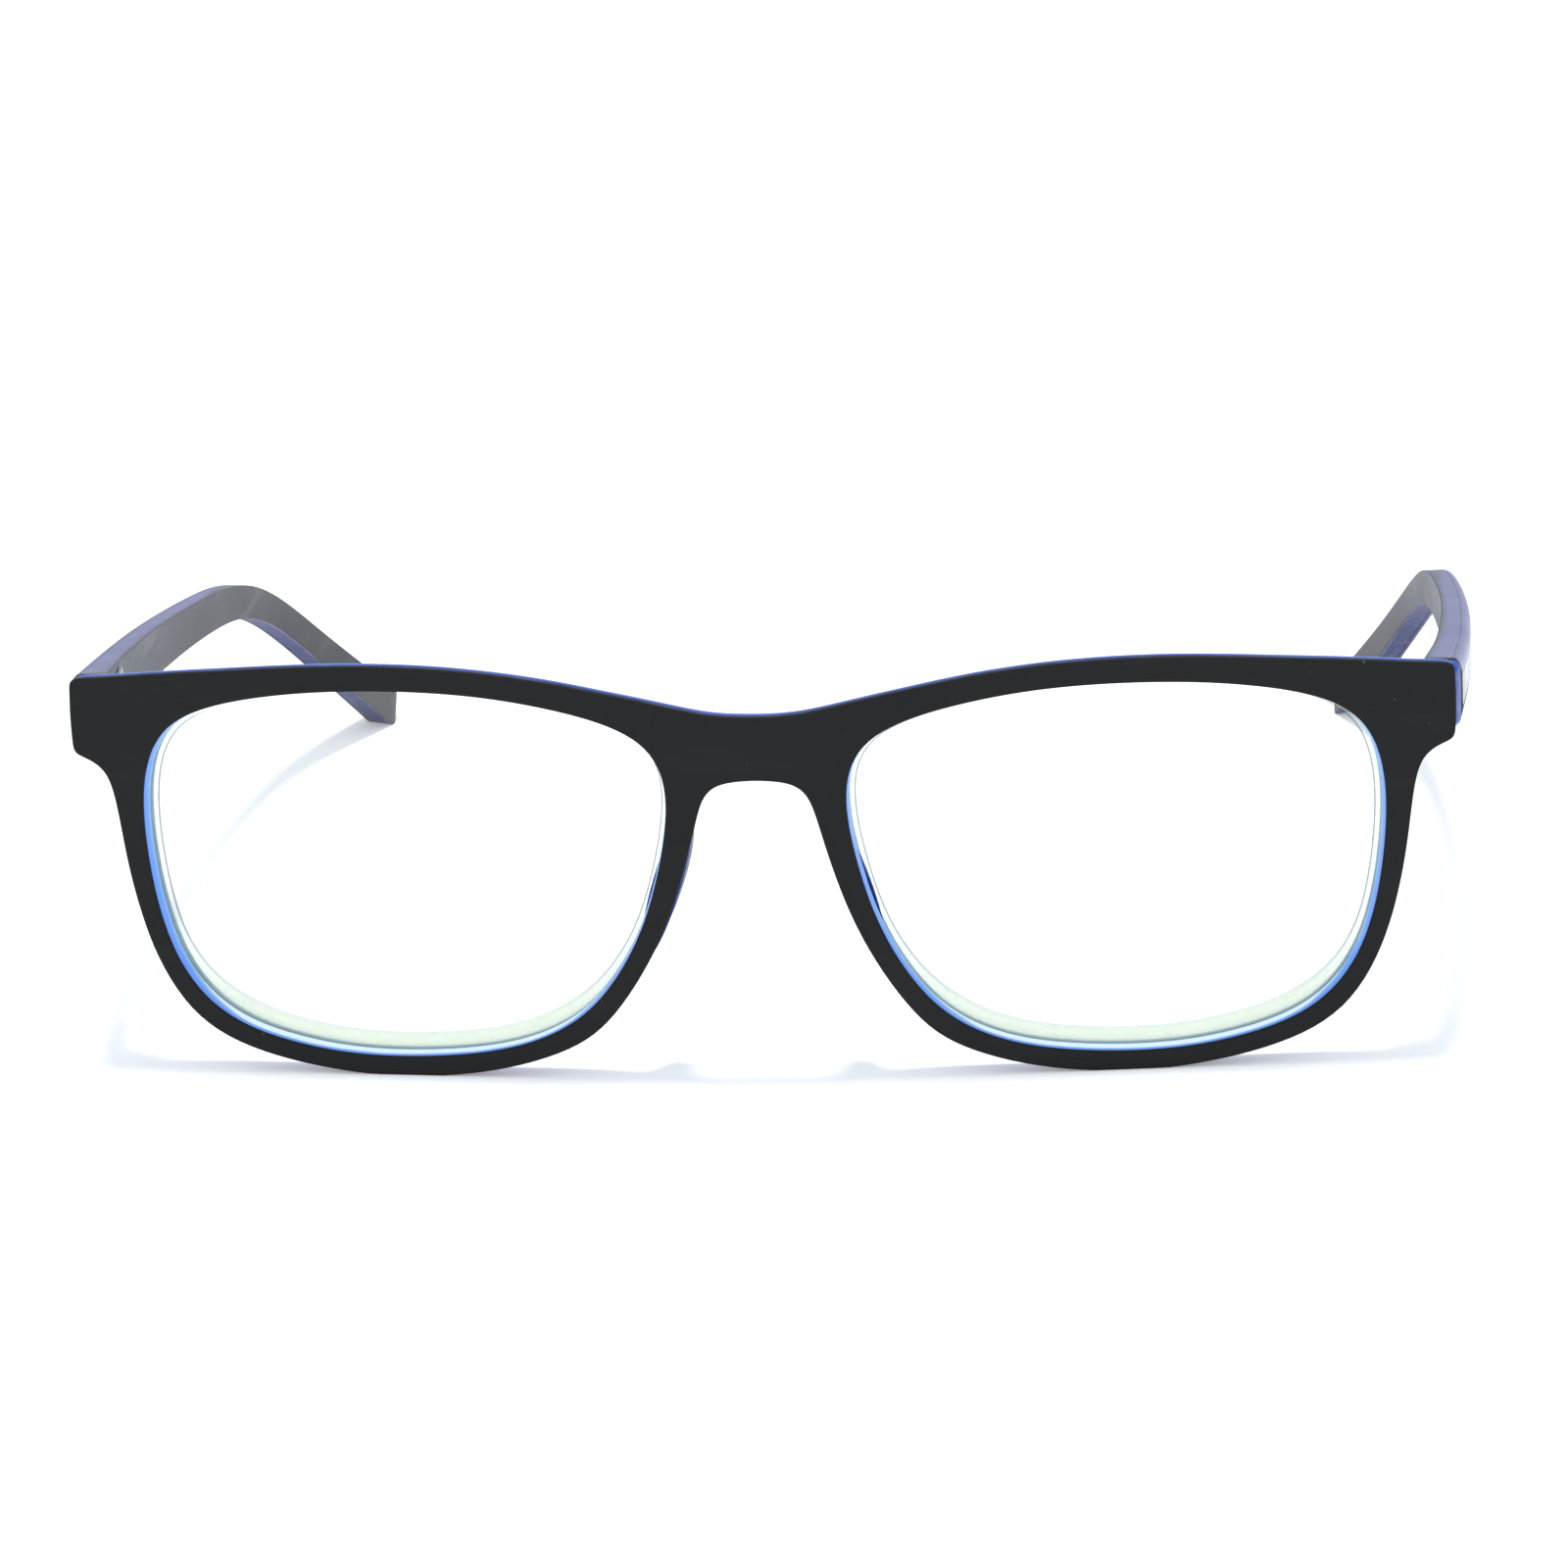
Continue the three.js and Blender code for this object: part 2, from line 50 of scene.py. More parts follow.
# The front is drawn flat, across U and up V, with its depth W counted back from the face, and is
# then rolled round a vertical cylinder behind it.
WRAP_RADIUS = 377
FRONT_Y = -65.9
FACE_BACK = 0.4
CORE_FRONT = 0.42
CORE_BACK = 3.3
BRIDGE_SWELL = 0.3
BRIDGE_SWELL_HALF_WIDTH = 12
BRIDGE_SWELL_STEEPNESS = 1.6

# Spline control points of the wearer's left half of the front, from the top of the bridge over the
# brow to the end piece, round the rim and up the nose to the bridge's underside.
FRONT_HALF = [
    (1.5, 37.5), (4.8, 37.7), (10, 38.9), (16.2, 40.2), (22.7, 41.5), (31.8, 42.5), (42.1, 42.6),
    (52, 41.9), (60.9, 41.2), (67.4, 40.5), (69.5, 40.5), (69.5, 39.2), (69.6, 36.6), (69.5, 33.9),
    (69.4, 32.6), (68, 32.2), (66, 31), (65.2, 27.9), (64.7, 23.7), (63.9, 18.6), (62, 11.5),
    (58.1, 5), (51.5, 1.8), (42.7, 0.1), (35.7, -0.3), (27.2, 0.4), (19.2, 2.8), (15, 6.1),
    (10.4, 13.3), (7.9, 19.8), (6.3, 25.7), (5.4, 29.3), (3.8, 30.7), (1, 31),
]
OPENING = [
    (10, 21), (12.3, 14), (16.8, 7), (22.6, 3.6), (29.5, 2.1), (39.7, 1.7), (47.6, 2.8),
    (55.6, 5.4), (60.7, 12.1), (62.6, 23.5), (62.4, 31.6), (59.2, 37.1), (50, 39.3), (40.9, 40.1),
    (30, 40), (20.6, 38.6), (10.9, 35.8), (8.3, 30),
]
OPENING_CENTRE = (35.6, 21.5)
OUTLINE_STEPS = 6
OPENING_STEPS = 9
FILL_SPACING = 1.6
FILL_TOLERANCE = 1e-5

# The outer edge's rounding, beyond EASED_BEYOND: stronger at the bridge, and at the end pieces only
# down from the top.
EASED_BEYOND = -0.35
BRIDGE_ROUND_HALF_WIDTH = 22
BRIDGE_ROUND_EASE = 14
BRIDGE_ROUND_MORE = 0.8
END_PIECE_START = 59
END_PIECE_EASE = 6
END_PIECE_TOP = 36
END_PIECE_TOP_EASE = 4

# Edge profiles: how far the surface stands outside the outline, and its depth.
FACE_OUTER_EDGE = [(-0.35, 0), (-0.16, 0), (-0.08, 0.02), (-0.02, 0.08), (0, 0.16), (0, FACE_BACK)]
FACE_OPENING_EDGE = [(0.35, 0), (0.16, 0), (0.08, 0.02), (0.02, 0.08), (0, 0.16), (0, FACE_BACK)]
CORE_ROUND_ACROSS = 1.15
CORE_ROUND_DEPTH = 2.6
CORE_ROUND_STEPS = 8
CORE_OPENING_EDGE = [
    (0.4, CORE_FRONT), (0, CORE_FRONT), (-0.01, 0.48), (-0.05, 0.75), (-0.09, 1.05), (-0.17, 1.65),
    (-0.2, 1.78), (-0.2, 1.85), (0.3, 1.85), (0.3, 2.85), (-0.2, 2.85), (-0.19, 2.95), (-0.13, 3.1),
    (0, 3.23), (0.16, CORE_BACK), (0.4, CORE_BACK),
]

# Painted light in the blue core, from 0 for navy to 1 for almost white: painted shade (SHADE) at the
# back, brighter along the middle of the top edge, and brightest on the openings' lips, sooner so along
# the bottom.
SHADE = 0.24
LIGHT_AT_TOP = 0.5
TOP_LIGHT_START = 28
TOP_LIGHT_RISE = 6
LIGHT_FULL_DEPTH = 1.9
LIGHT_FADE_DEPTH = 2.4
LIGHT_FADE = 0.6
LIP_BACK = 1.85
LIP_FRONT_LIGHT = 0.7
SIDE_LIP_LIGHT = 0.92
LOW_LIP_LIGHT = 1
LOW_LIP_START = 3
LOW_LIP_RISE = 8
LOW_LIP_SOONER = 0.6

# Lens rings: how far each stands outside the opening's edge, and its depth. The pale margin fades
# towards the top, and is narrower at the sides than along the bottom. Points outside it count as
# PAST_MARGIN in from the edge.
LENS_FRONT_EDGE = [(-1.2, 1.91), (-0.7, 1.92), (-0.3, 1.95), (0.1, 2.15)]
LENS_BACK_EDGE = [(0.1, 2.6), (-0.3, 2.74), (-0.5, 2.86), (-0.8, 3.09), (-1.1, 3.33), (-1.4, 3.56)]
LENS_BACK_EDGE_LAST = (-1.5, 3.62)
LENS_DOME = 0.9
MARGIN_FADE_START = 36.3
MARGIN_FADE = 2.4
MARGIN_NARROWER = 0.9
MARGIN_LOW = 4
MARGIN_RISE = 12
PAST_MARGIN = 4
LENS_SCALES = [0.97, 0.92, 0.84, 0.74, 0.62, 0.48, 0.32, 0.16]

# Moulded nose pad: its footprint's middle on the rim, how far it leans inwards and up for each
# millimetre behind the core, and its sections as depth, half width and half height.
PAD_CENTRE = (9.5, 19.6)
PAD_TILT = 18
PAD_LEAN = (-0.225, 0.1)
PAD_POINTS = 40
PAD_SECTIONS = [
    (2.5, 1.45, 8.3), (3.3, 1.4, 8), (3.7, 1.36, 7.5), (4.3, 1.32, 7), (5, 1.26, 6.4),
    (5.6, 1.14, 5.8), (6.15, 0.98, 5.2), (6.6, 0.76, 4.4), (6.9, 0.5, 3.4), (7.05, 0.22, 2.2),
]

# End block sections: depth, how much narrower, how far the bottom is raised, and the painted light in
# the outer edge, whose back corner is painted dark as shade in the joint. The top comes down by a
# share of the bottom's rise.
BLOCK = {"inner": 60.5, "outer": 69.6, "low": 32.7, "high": 39.6}
BLOCK_SECTIONS = [
    (7.3, 0.85, 0.6, 0.24), (8.2, 0.55, 0.4, 0.24), (9.2, 0.3, 0.2, 0.28), (10.2, 0.08, 0.06, 0.36),
    (10.45, 0.04, 0.04, 0.06), (10.72, 0.04, 0.04, 0), (10.84, 0.1, 0.1, 0), (10.9, 0.25, 0.25, 0.1),
    (10.9, 0.7, 0.6, 0.24),
]
BLOCK_TOP_SHARE = 0.6
BLOCK_NECK = 1
BLOCK_NECK_END = 9
BLOCK_CORNER = 0.9
BLOCK_INNER_CORNER = 0.5

# Temple: distance behind the face, distance from the middle, height above the floor, section
# height and section thickness. The frames at the joint, one of them put in at JOINT_SHARE of the
# first step, are coloured black as painted shade in the joint.
TEMPLE_ROWS = [
    (11.1, 67.8, 36.15, 6.8, 3.8), (25, 68.5, 34.4, 5.5, 3.4), (39, 68.6, 32.5, 5.2, 3.2),
    (52.5, 68.5, 30.6, 4.9, 3), (66, 68, 28.7, 4.4, 2.9), (80, 67, 26.8, 3.9, 2.9),
    (94.2, 65.7, 24.4, 3.6, 3), (107.2, 63.9, 19, 3.4, 3.2), (118, 60.3, 11, 3.7, 3.5),
    (129, 55.3, 1.9, 4.6, 3.9),
]
TEMPLE_STEPS = 8
SHADED_JOINT_FRAMES = 2
JOINT_SHARE = 0.4
SQUARE_LENGTH = 7
TIP_LENGTH = 2.65
TIP_STEPS = [0.3, 0.6, 0.95, 1.3, 1.65, 1.95, 2.2, 2.4, 2.55]
BEVEL_ACROSS = 0.9
BEVEL_SHARE = 0.24
FULL_BEVEL_SIDE = 1.5
STRIP_STEP = 0.1
STRIP_BEVEL = 0.05
VENEER = 0.3
INNER_VENEER = 0.16
SEAM = 0.006
INNER_CORNER = 0.07
SEAM_GROOVE = 0.07
TOP_STEPS = 6

# Black paint over the temple's top: its reach as a share of the width, where along the temple it
# starts to spread, over what length, and how softly it fades.
PAINT_EDGE = 0.14
PAINT_START = 72
PAINT_SPREAD = 34
PAINT_FADE = 0.35

# Hinge, about the pin: the leaves and knuckles match the CAD's.
PIVOT = (64.3, 12.5)
KNUCKLE_RADIUS = 1.1
KNUCKLE_EDGE = 0.12
BORE_RADIUS = 0.6
WEB_START = 0.72
LOWER_KNUCKLE = (33.1, 34.4)
MIDDLE_KNUCKLE = (34.5, 36.1)
UPPER_KNUCKLE = (36.2, 37.2)
FRONT_LEAF = ((-3.6, -1.2), (-1.5, -0.7), (33.1, 37.2))
TEMPLE_LEAF = ((1.2, 2), (1.5, 9.2), (33.5, 37.3))
TEMPLE_LEAF_TURN = -3.8
POCKET_GAP = 0.12
POCKET_MOUTH = -1
POCKET_WEB = (-0.5, 2.1)
FRONT_SCREWS = [(-2.4, 34.2), (-2.4, 36.1)]
TEMPLE_SCREWS = [(3.4, 36.2), (7.2, 34.8)]
LEAF_SCREW = {"shaft": 0.38, "head": 0.72, "head_height": 0.33, "length": 2.1}
PIN = {"shaft": 0.54, "head": 0.95, "head_height": 0.27}
PIN_BELOW = 0.2
PIN_LIFT = 0.03
SCREW_LIFT = 0.02

# Camera, seen from the front, a little from the wearer's left and above.
CAMERA_TARGET = (2.887, -65.9, 30.61)
CAMERA_AZIMUTH = 5.406
CAMERA_ELEVATION = 16.655
CAMERA_ROLL = -2.17
CAMERA_DISTANCE = 900.3
CAMERA_LENS = 209.2
CAMERA_SENSOR = 36

# Light: a bluish sky, and a lamp's strength, width and lean towards the back in degrees.
SKY_COLOUR = (0.86, 0.93, 1, 1)
SKY_STRENGTH = 0.8
LAMP_STRENGTH = 1.9
LAMP_SPREAD = 9
LAMP_LEAN = 4
TABLE_GLOW = 0.25
TABLE_RINGS = (0, 300, 900, 2500)
TABLE_DROP = 0.02
# Painted glow: the emission strength on the blue core's brightest lips.
PAINTED_LIP_GLOW = 0.4

# Mesh clean-up, in metres, and the angle in degrees beyond which an edge stays sharp.
WELD_DISTANCE = 1e-7
SLIVER_LENGTH = 1e-8
SHARP_ANGLE = 35


# -------------------- splines and loops

def smooth_step(t):
    t = min(max(t, 0), 1)
    return t * t * (3 - 2 * t)


def spline_between(rows, i, t, row_at):
    """A uniform cubic spline's value between control rows i and i + 1."""
    weights = (
        (1 - t) ** 3 / 6,
        (3 * t**3 - 6 * t**2 + 4) / 6,
        (-3 * t**3 + 3 * t**2 + 3 * t + 1) / 6,
        t**3 / 6,
    )
    near = [row_at(i - 1 + k) for k in range(4)]
    return tuple(sum(w * row[axis] for w, row in zip(weights, near)) for axis in range(len(rows[0])))


def closed_spline(rows, steps):
    def row_at(i):
        return rows[i % len(rows)]

    return [
        spline_between(rows, i, s / steps, row_at) for i in range(len(rows)) for s in range(steps)
    ]


def open_spline(rows, steps):
    """A spline that starts at its first row and ends at its last."""
    last = len(rows) - 1

    def beyond(end, inner):
        return tuple(2 * a - b for a, b in zip(end, inner))

    def row_at(i):
        if i < 0:
            return beyond(rows[0], rows[1])
        if i > last:
            return beyond(rows[last], rows[last - 1])
        return rows[i]

    places = [spline_between(rows, i, s / steps, row_at) for i in range(last) for s in range(steps)]
    return places + [rows[last]]


def arc(across, rise, radius_across, radius_rise, start, steps=6):
    """A quarter of an ellipse round a centre, from a start angle in degrees."""
    points = []
    for k in range(steps + 1):
        angle = math.radians(start + 90 * k / steps)
        points.append((across + radius_across * math.cos(angle), rise + radius_rise * math.sin(angle)))
    return points


def offset_loop(loop, distance):
    """Moves a counter-clockwise loop outwards by a small distance."""
    moved = []
    for i, (u, v) in enumerate(loop):
        before = loop[i - 1]
        after = loop[(i + 1) % len(loop)]
        along = Vector((after[0] - before[0], after[1] - before[1])).normalized()
        moved.append((u + along.y * distance, v - along.x * distance))
    return moved


def rounded_outline(loop, distance):
    """The front's outline, moved inwards for its rounded outer edge: more at the bridge, and at the
    end pieces, whose corners are tight, only down from the top."""
    if distance >= EASED_BEYOND:
        return offset_loop(loop, distance)
    beyond = distance - EASED_BEYOND
    eased = []
    for (u, v), (near_u, near_v) in zip(loop, offset_loop(loop, EASED_BEYOND)):
        at_bridge = smooth_step((BRIDGE_ROUND_HALF_WIDTH - abs(u)) / BRIDGE_ROUND_EASE)
        at_end = smooth_step((abs(u) - END_PIECE_START) / END_PIECE_EASE)
        reach = beyond / EASED_BEYOND * (1 + BRIDGE_ROUND_MORE * at_bridge) * (1 - at_end)
        drop = beyond * smooth_step((v - END_PIECE_TOP) / END_PIECE_TOP_EASE) * at_end
        eased.append((near_u + (near_u - u) * reach, near_v + (near_v - v) * reach + drop))
    return eased


def wrap_point(u, w, v):
    """A flat point of the front, rolled round the wrap cylinder, with the bridge a little proud."""
    swell = BRIDGE_SWELL * smooth_step(BRIDGE_SWELL_STEEPNESS * (1 - abs(u) / BRIDGE_SWELL_HALF_WIDTH))
    angle = u / WRAP_RADIUS
    reach = WRAP_RADIUS - w + swell * max(0, 1 - w / CORE_BACK)
    return (reach * math.sin(angle), FRONT_Y + WRAP_RADIUS - reach * math.cos(angle), v)


def front_loop():
    """The whole outline, counter-clockwise, with the rims' bottoms flattened to stand on."""
    other_half = [(-u, v) for u, v in reversed(FRONT_HALF)]
    loop = closed_spline(FRONT_HALF + other_half, OUTLINE_STEPS)
    return [(u, max(v, 0)) for u, v in reversed(loop)]


def core_outer_edge():
    """Flat at the face, then an elliptical rounding to the back."""
    edge = [(-0.35, CORE_FRONT), (0, CORE_FRONT)]
    for k in range(CORE_ROUND_STEPS + 1):
        angle = math.radians(90 * k / CORE_ROUND_STEPS)
        across = CORE_ROUND_ACROSS * (math.cos(angle) - 1)
        edge.append((across, CORE_BACK - CORE_ROUND_DEPTH * (1 - math.sin(angle))))
    return edge


LEFT_OPENING = closed_spline(OPENING, OPENING_STEPS)
RIGHT_OPENING = [(-u, v) for u, v in reversed(LEFT_OPENING)]


# -------------------- shapes: (points, faces)

def merged(*shapes):
    points = []
    faces = []
    for shape_points, shape_faces in shapes:
        start = len(points)
        points.extend(shape_points)
        faces.extend([tuple(start + k for k in face) for face in shape_faces])
    return points, faces


def moved_shape(shape, matrix):
    return [tuple(matrix @ Vector(point)) for point in shape[0]], shape[1]


def mirrored(shape):
    return [(-x, y, z) for x, y, z in shape[0]], shape[1]


def sided(hand, shape):
    """A shape made for the wearer's left, mirrored if the hand is right."""
    return shape if hand == "left" else mirrored(shape)


def ring_faces(first, second):
    count = len(first)
    return [(first[i], first[(i + 1) % count], second[(i + 1) % count], second[i]) for i in range(count)]


def loft(rings, capped=True):
    """A skin over rings of equal length, with a flat cap on the first and the last."""
    points = [point for ring in rings for point in ring]
    count = len(rings[0])
    rows = [list(range(r * count, (r + 1) * count)) for r in range(len(rings))]
    faces = [face for a, b in zip(rows, rows[1:]) for face in ring_faces(a, b)]
    if capped:
        faces += [tuple(rows[0]), tuple(rows[-1])]
    return points, faces


def turned(profile, segments=40, closed=False):
    """A profile of (radius, height) pairs, turned about +Z. A radius of 0 makes a pole."""
    rings = []
    for radius, height in profile:
        ring = []
        for k in range(segments):
            angle = 2 * math.pi * k / segments
            ring.append((radius * math.cos(angle), radius * math.sin(angle), height))
        rings.append(ring)
    if closed:
        rings.append(rings[0])
    return loft(rings, capped=False)


def soft_block(x_span, y_span, z_span, radius):
    """A block with rounded edges."""
    spans = (x_span, y_span, z_span)
    size = [high - low for low, high in spans]
    middle = [(high + low) / 2 for low, high in spans]
    work = bmesh.new()
    bmesh.ops.create_cube(work, size=1, matrix=Matrix.LocRotScale(middle, None, size))
    bmesh.ops.bevel(work, geom=work.edges, offset=radius, segments=3, profile=0.5, affect="EDGES")
    work.verts.index_update()
    shape = (
        [tuple(vert.co) for vert in work.verts],
        [tuple(vert.index for vert in face.verts) for face in work.faces],
    )
    work.free()
    return shape


def is_inside(loop, u, v):
    """True if a flat point lies within a loop."""
    crossings = 0
    for (u1, v1), (u2, v2) in zip(loop, loop[1:] + loop[:1]):
        if (v1 > v) != (v2 > v) and u < u1 + (v - v1) / (v2 - v1) * (u2 - u1):
            crossings += 1
    return crossings % 2 == 1


def flat_cap(loops, depth, start):
    """Triangles between an outline and the holes in it, with evenly spaced points between them. start
    is the number of the first new point. Each loop is a list of ((u, v), point number), the outline
    first."""
    coords = [Vector(place) for loop in loops for place, _ in loop]
    numbers = [number for loop in loops for _, number in loop]
    edges = []
    first = 0
    for loop in loops:
        count = len(loop)
        edges += [(first + i, first + (i + 1) % count) for i in range(count)]
        first += count
    border = KDTree(len(coords))
    for i, place in enumerate(coords):
        border.insert(place.to_3d(), i)
    border.balance()
    low_u = min(place.x for place in coords)
    high_u = max(place.x for place in coords)
    high_v = max(place.y for place in coords)
    row_height = FILL_SPACING * math.sqrt(3) / 2
    for row in range(int(high_v / row_height) + 1):
        v = row * row_height
        for column in range(int((high_u - low_u) / FILL_SPACING) + 1):
            place = Vector((low_u + (column + 0.5 * (row % 2)) * FILL_SPACING, v))
            if border.find(place.to_3d())[2] > 0.5 * FILL_SPACING:
                coords.append(place)
    places, _, triangles, origins, _, _ = delaunay_2d_cdt(coords, edges, [], 0, FILL_TOLERANCE)
    outline, *holes = [[place for place, _ in loop] for loop in loops]

    def is_solid(triangle):
        centre = sum((places[corner] for corner in triangle), Vector((0, 0))) / 3
        in_hole = any(is_inside(hole, centre.x, centre.y) for hole in holes)
        return is_inside(outline, centre.x, centre.y) and not in_hole

    triangles = [triangle for triangle in triangles if is_solid(triangle)]
    points = []
    number_of = {}
    for i in sorted({corner for triangle in triangles for corner in triangle}):
        known = [k for k in origins[i] if k < len(numbers)]
        if known:
            number_of[i] = numbers[known[0]]
            continue
        number_of[i] = start + len(points)
        points.append((places[i].x, depth, places[i].y))
    return points, [tuple(number_of[corner] for corner in triangle) for triangle in triangles]


def edge_light(depth, v):
    """Light in the outer edge: none by the face, most along the middle of the top."""
    above = smooth_step((v - TOP_LIGHT_START) / TOP_LIGHT_RISE)
    top = above * (1 - smooth_step((depth - LIGHT_FADE_DEPTH) / LIGHT_FADE))
    return (SHADE + (LIGHT_AT_TOP - SHADE) * top) * min(depth / LIGHT_FULL_DEPTH, 1)


def lip_light(depth, v):
    """Light in an opening's wall: bright on the lip before the lens, sooner pale along the bottom."""
    if depth > LIP_BACK:
        return SHADE
    low = 1 - smooth_step((v - LOW_LIP_START) / LOW_LIP_RISE)
    reach = (LIP_BACK - CORE_FRONT) * (1 - LOW_LIP_SOONER * low)
    palest = SIDE_LIP_LIGHT + (LOW_LIP_LIGHT - SIDE_LIP_LIGHT) * low
    share = min(max((depth - CORE_FRONT) / reach, 0), 1)
    return LIP_FRONT_LIGHT + (palest - LIP_FRONT_LIGHT) * share


def wrapped_plate(outer_edge, opening_edge):
    """The front's outline with both openings, walled by edge profiles and rolled round the wrap, and
    the light in each point: none at the face, some at the back and most on the openings' lips."""
    flat = []
    lights = []
    faces = []
    fronts = []
    backs = []
    outline = (front_loop(), outer_edge, rounded_outline, edge_light)
    openings = [
        (loop, opening_edge, offset_loop, lip_light) for loop in (LEFT_OPENING, RIGHT_OPENING)
    ]
    for loop, edge, shifted, light_at in [outline] + openings:
        rows = []
        for distance, depth in edge:
            ring = shifted(loop, distance)
            rows.append(list(range(len(flat), len(flat) + len(ring))))
            flat += [(u, depth, max(v, 0)) for u, v in ring]
            lights += [light_at(depth, v) for _, v in ring]
        faces += [face for a, b in zip(rows, rows[1:]) for face in ring_faces(a, b)]
        fronts.append([((flat[k][0], flat[k][2]), k) for k in rows[0]])
        backs.append([((flat[k][0], flat[k][2]), k) for k in rows[-1]])
    for loops, depth in ((fronts, outer_edge[0][1]), (backs, outer_edge[-1][1])):
        points, triangles = flat_cap(loops, depth, len(flat))
        flat += points
        lights += [SHADE] * len(points)
        faces += triangles
    return ([wrap_point(*point) for point in flat], faces), lights


# -------------------- objects

def clean_mesh(name, shape, attributes=None):
    """A mesh in metres from a shape in millimetres, welded, with its faces turned outwards."""
    points, faces = shape
    mesh = bpy.data.meshes.new(name)
    mesh.from_pydata([tuple(MM * value for value in point) for point in points], [], faces)
    for label, values in (attributes or {}).items():
        mesh.attributes.new(label, "FLOAT", "POINT").data.foreach_set("value", values)
    work = bmesh.new()
    work.from_mesh(mesh)
    bmesh.ops.remove_doubles(work, verts=work.verts, dist=WELD_DISTANCE)
    bmesh.ops.dissolve_degenerate(work, edges=work.edges, dist=SLIVER_LENGTH)
    bmesh.ops.recalc_face_normals(work, faces=work.faces)
    work.to_mesh(mesh)
    work.free()
    return mesh


def shade(mesh):
    mesh.shade_smooth()
    mesh.set_sharp_from_angle(angle=math.radians(SHARP_ANGLE))


def make_piece(name, shape, finish, body, replaced, attributes=None):
    """A smooth-shaded object from a shape in millimetres, riding on a body in place of CAD nodes."""
    mesh = clean_mesh(name, shape, attributes)
    mesh.materials.append(finish)
    shade(mesh)
    piece = bpy.data.objects.new(name, mesh)
    bpy.context.scene.collection.objects.link(piece)
    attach(piece, body)
    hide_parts(*replaced)
    return piece


def carve(piece, cutters):
    """Cuts shapes in millimetres out of a piece."""
    for shape in cutters:
        mesh = clean_mesh("cutter", shape)
        cutter = bpy.data.objects.new("cutter", mesh)
        bpy.context.scene.collection.objects.link(cutter)
        cut = piece.modifiers.new("cut", "BOOLEAN")
        cut.operation = "DIFFERENCE"
        cut.solver = "EXACT"
        cut.object = cutter
        bpy.context.view_layer.update()
        evaluated = piece.evaluated_get(bpy.context.evaluated_depsgraph_get())
        result = bpy.data.meshes.new_from_object(evaluated)
        piece.modifiers.clear()
        old = piece.data
        result.name = old.name
        piece.data = result
        bpy.data.meshes.remove(old)
        bpy.data.objects.remove(cutter)
        bpy.data.meshes.remove(mesh)
        shade(result)


# -------------------- material helpers

def srgb(red, green, blue):
    """A linear colour from screen values of 0 to 255."""
    def linear(value):
        share = value / 255
        return share / 12.92 if share <= 0.04045 else ((share + 0.055) / 1.055) ** 2.4

    return (linear(red), linear(green), linear(blue), 1)


def grey(value):
    return (value, value, value, 1)


def new_finish(name, **constants):
    """A material, its node tree and its Principled shader with constant sockets set."""
    finish = bpy.data.materials.new(name)
    finish.use_nodes = True
    tree = finish.node_tree
    shader = tree.nodes["Principled BSDF"]
    for socket, value in constants.items():
        shader.inputs[socket.replace("_", " ").title().replace("Ior", "IOR")].default_value = value
    return finish, tree, shader


def add_node(tree, kind, inputs=None, **settings):
    """A node whose inputs are linked where a socket is given and set where a value is."""
    node = tree.nodes.new(kind)
    for key, value in settings.items():
        setattr(node, key, value)
    for key, value in (inputs or {}).items():
        if isinstance(value, bpy.types.NodeSocket):
            tree.links.new(value, node.inputs[key])
        else:
            node.inputs[key].default_value = value
    return node


def noise(tree, scale, detail=3, stretch=(1, 1, 1), distortion=0):
    """Noise over the piece, with scale in features per metre."""
    place = add_node(tree, "ShaderNodeTexCoord").outputs["Object"]
    stretched = add_node(tree, "ShaderNodeMapping", {"Vector": place, "Scale": stretch})
    pattern = add_node(
        tree, "ShaderNodeTexNoise",
        {"Vector": stretched.outputs[0], "Scale": scale, "Detail": detail, "Distortion": distortion},
    )
    return pattern.outputs["Fac"]


def attribute(tree, name):
    return add_node(tree, "ShaderNodeAttribute", attribute_name=name).outputs["Fac"]


def computed(tree, operation, first, second):
    return add_node(tree, "ShaderNodeMath", {0: first, 1: second}, operation=operation).outputs[0]


def ramp(tree, source, stops):
    """Colours at places from 0 to 1 along a source."""
    node = add_node(tree, "ShaderNodeValToRGB", {"Fac": source})
    bands = node.color_ramp.elements
    while len(bands) < len(stops):
        bands.new(0.5)
    for band, (place, colour) in zip(bands, stops):
        band.position = place
        band.color = colour
    return node.outputs["Color"]


def spread(tree, source, low, high, from_low=0.3, from_high=0.7):
    """A source's range, stretched to run from low to high."""
    node = add_node(
        tree, "ShaderNodeMapRange",
        {"Value": source, "From Min": from_low, "From Max": from_high, "To Min": low, "To Max": high},
    )
    return node.outputs[0]


def mixed(tree, share, first, second, blend="MIX"):
    """Two colours mixed by a share; 6 and 7 are the Mix node's colour inputs and 2 its colour output."""
    inputs = {0: share, 6: first, 7: second}
    return add_node(tree, "ShaderNodeMix", inputs, data_type="RGBA", blend_type=blend).outputs[2]


def bump(tree, heights):
    """A normal from (height, distance in metres) pairs, laid over each other."""
    normal = None
    for height, distance in heights:
        node = add_node(tree, "ShaderNodeBump", {"Height": height, "Distance": distance, "Strength": 1})
        if normal is not None:
            tree.links.new(normal, node.inputs["Normal"])
        normal = node.outputs[0]
    return normal


def edge_patches(tree, colour, edge_colour):
    """The colour, turning to another on sharp convex edges, in patches: lighter wear on most pieces,
    darker on the face panel.
    """
    pointed = add_node(tree, "ShaderNodeNewGeometry").outputs["Pointiness"]
    edge = spread(tree, pointed, 0, 0.6, 0.53, 0.6)
    patches = spread(tree, noise(tree, 320, 4), 0, 1, 0.42, 0.62)
    return mixed(tree, computed(tree, "MULTIPLY", edge, patches), colour, edge_colour)


# -------------------- materials

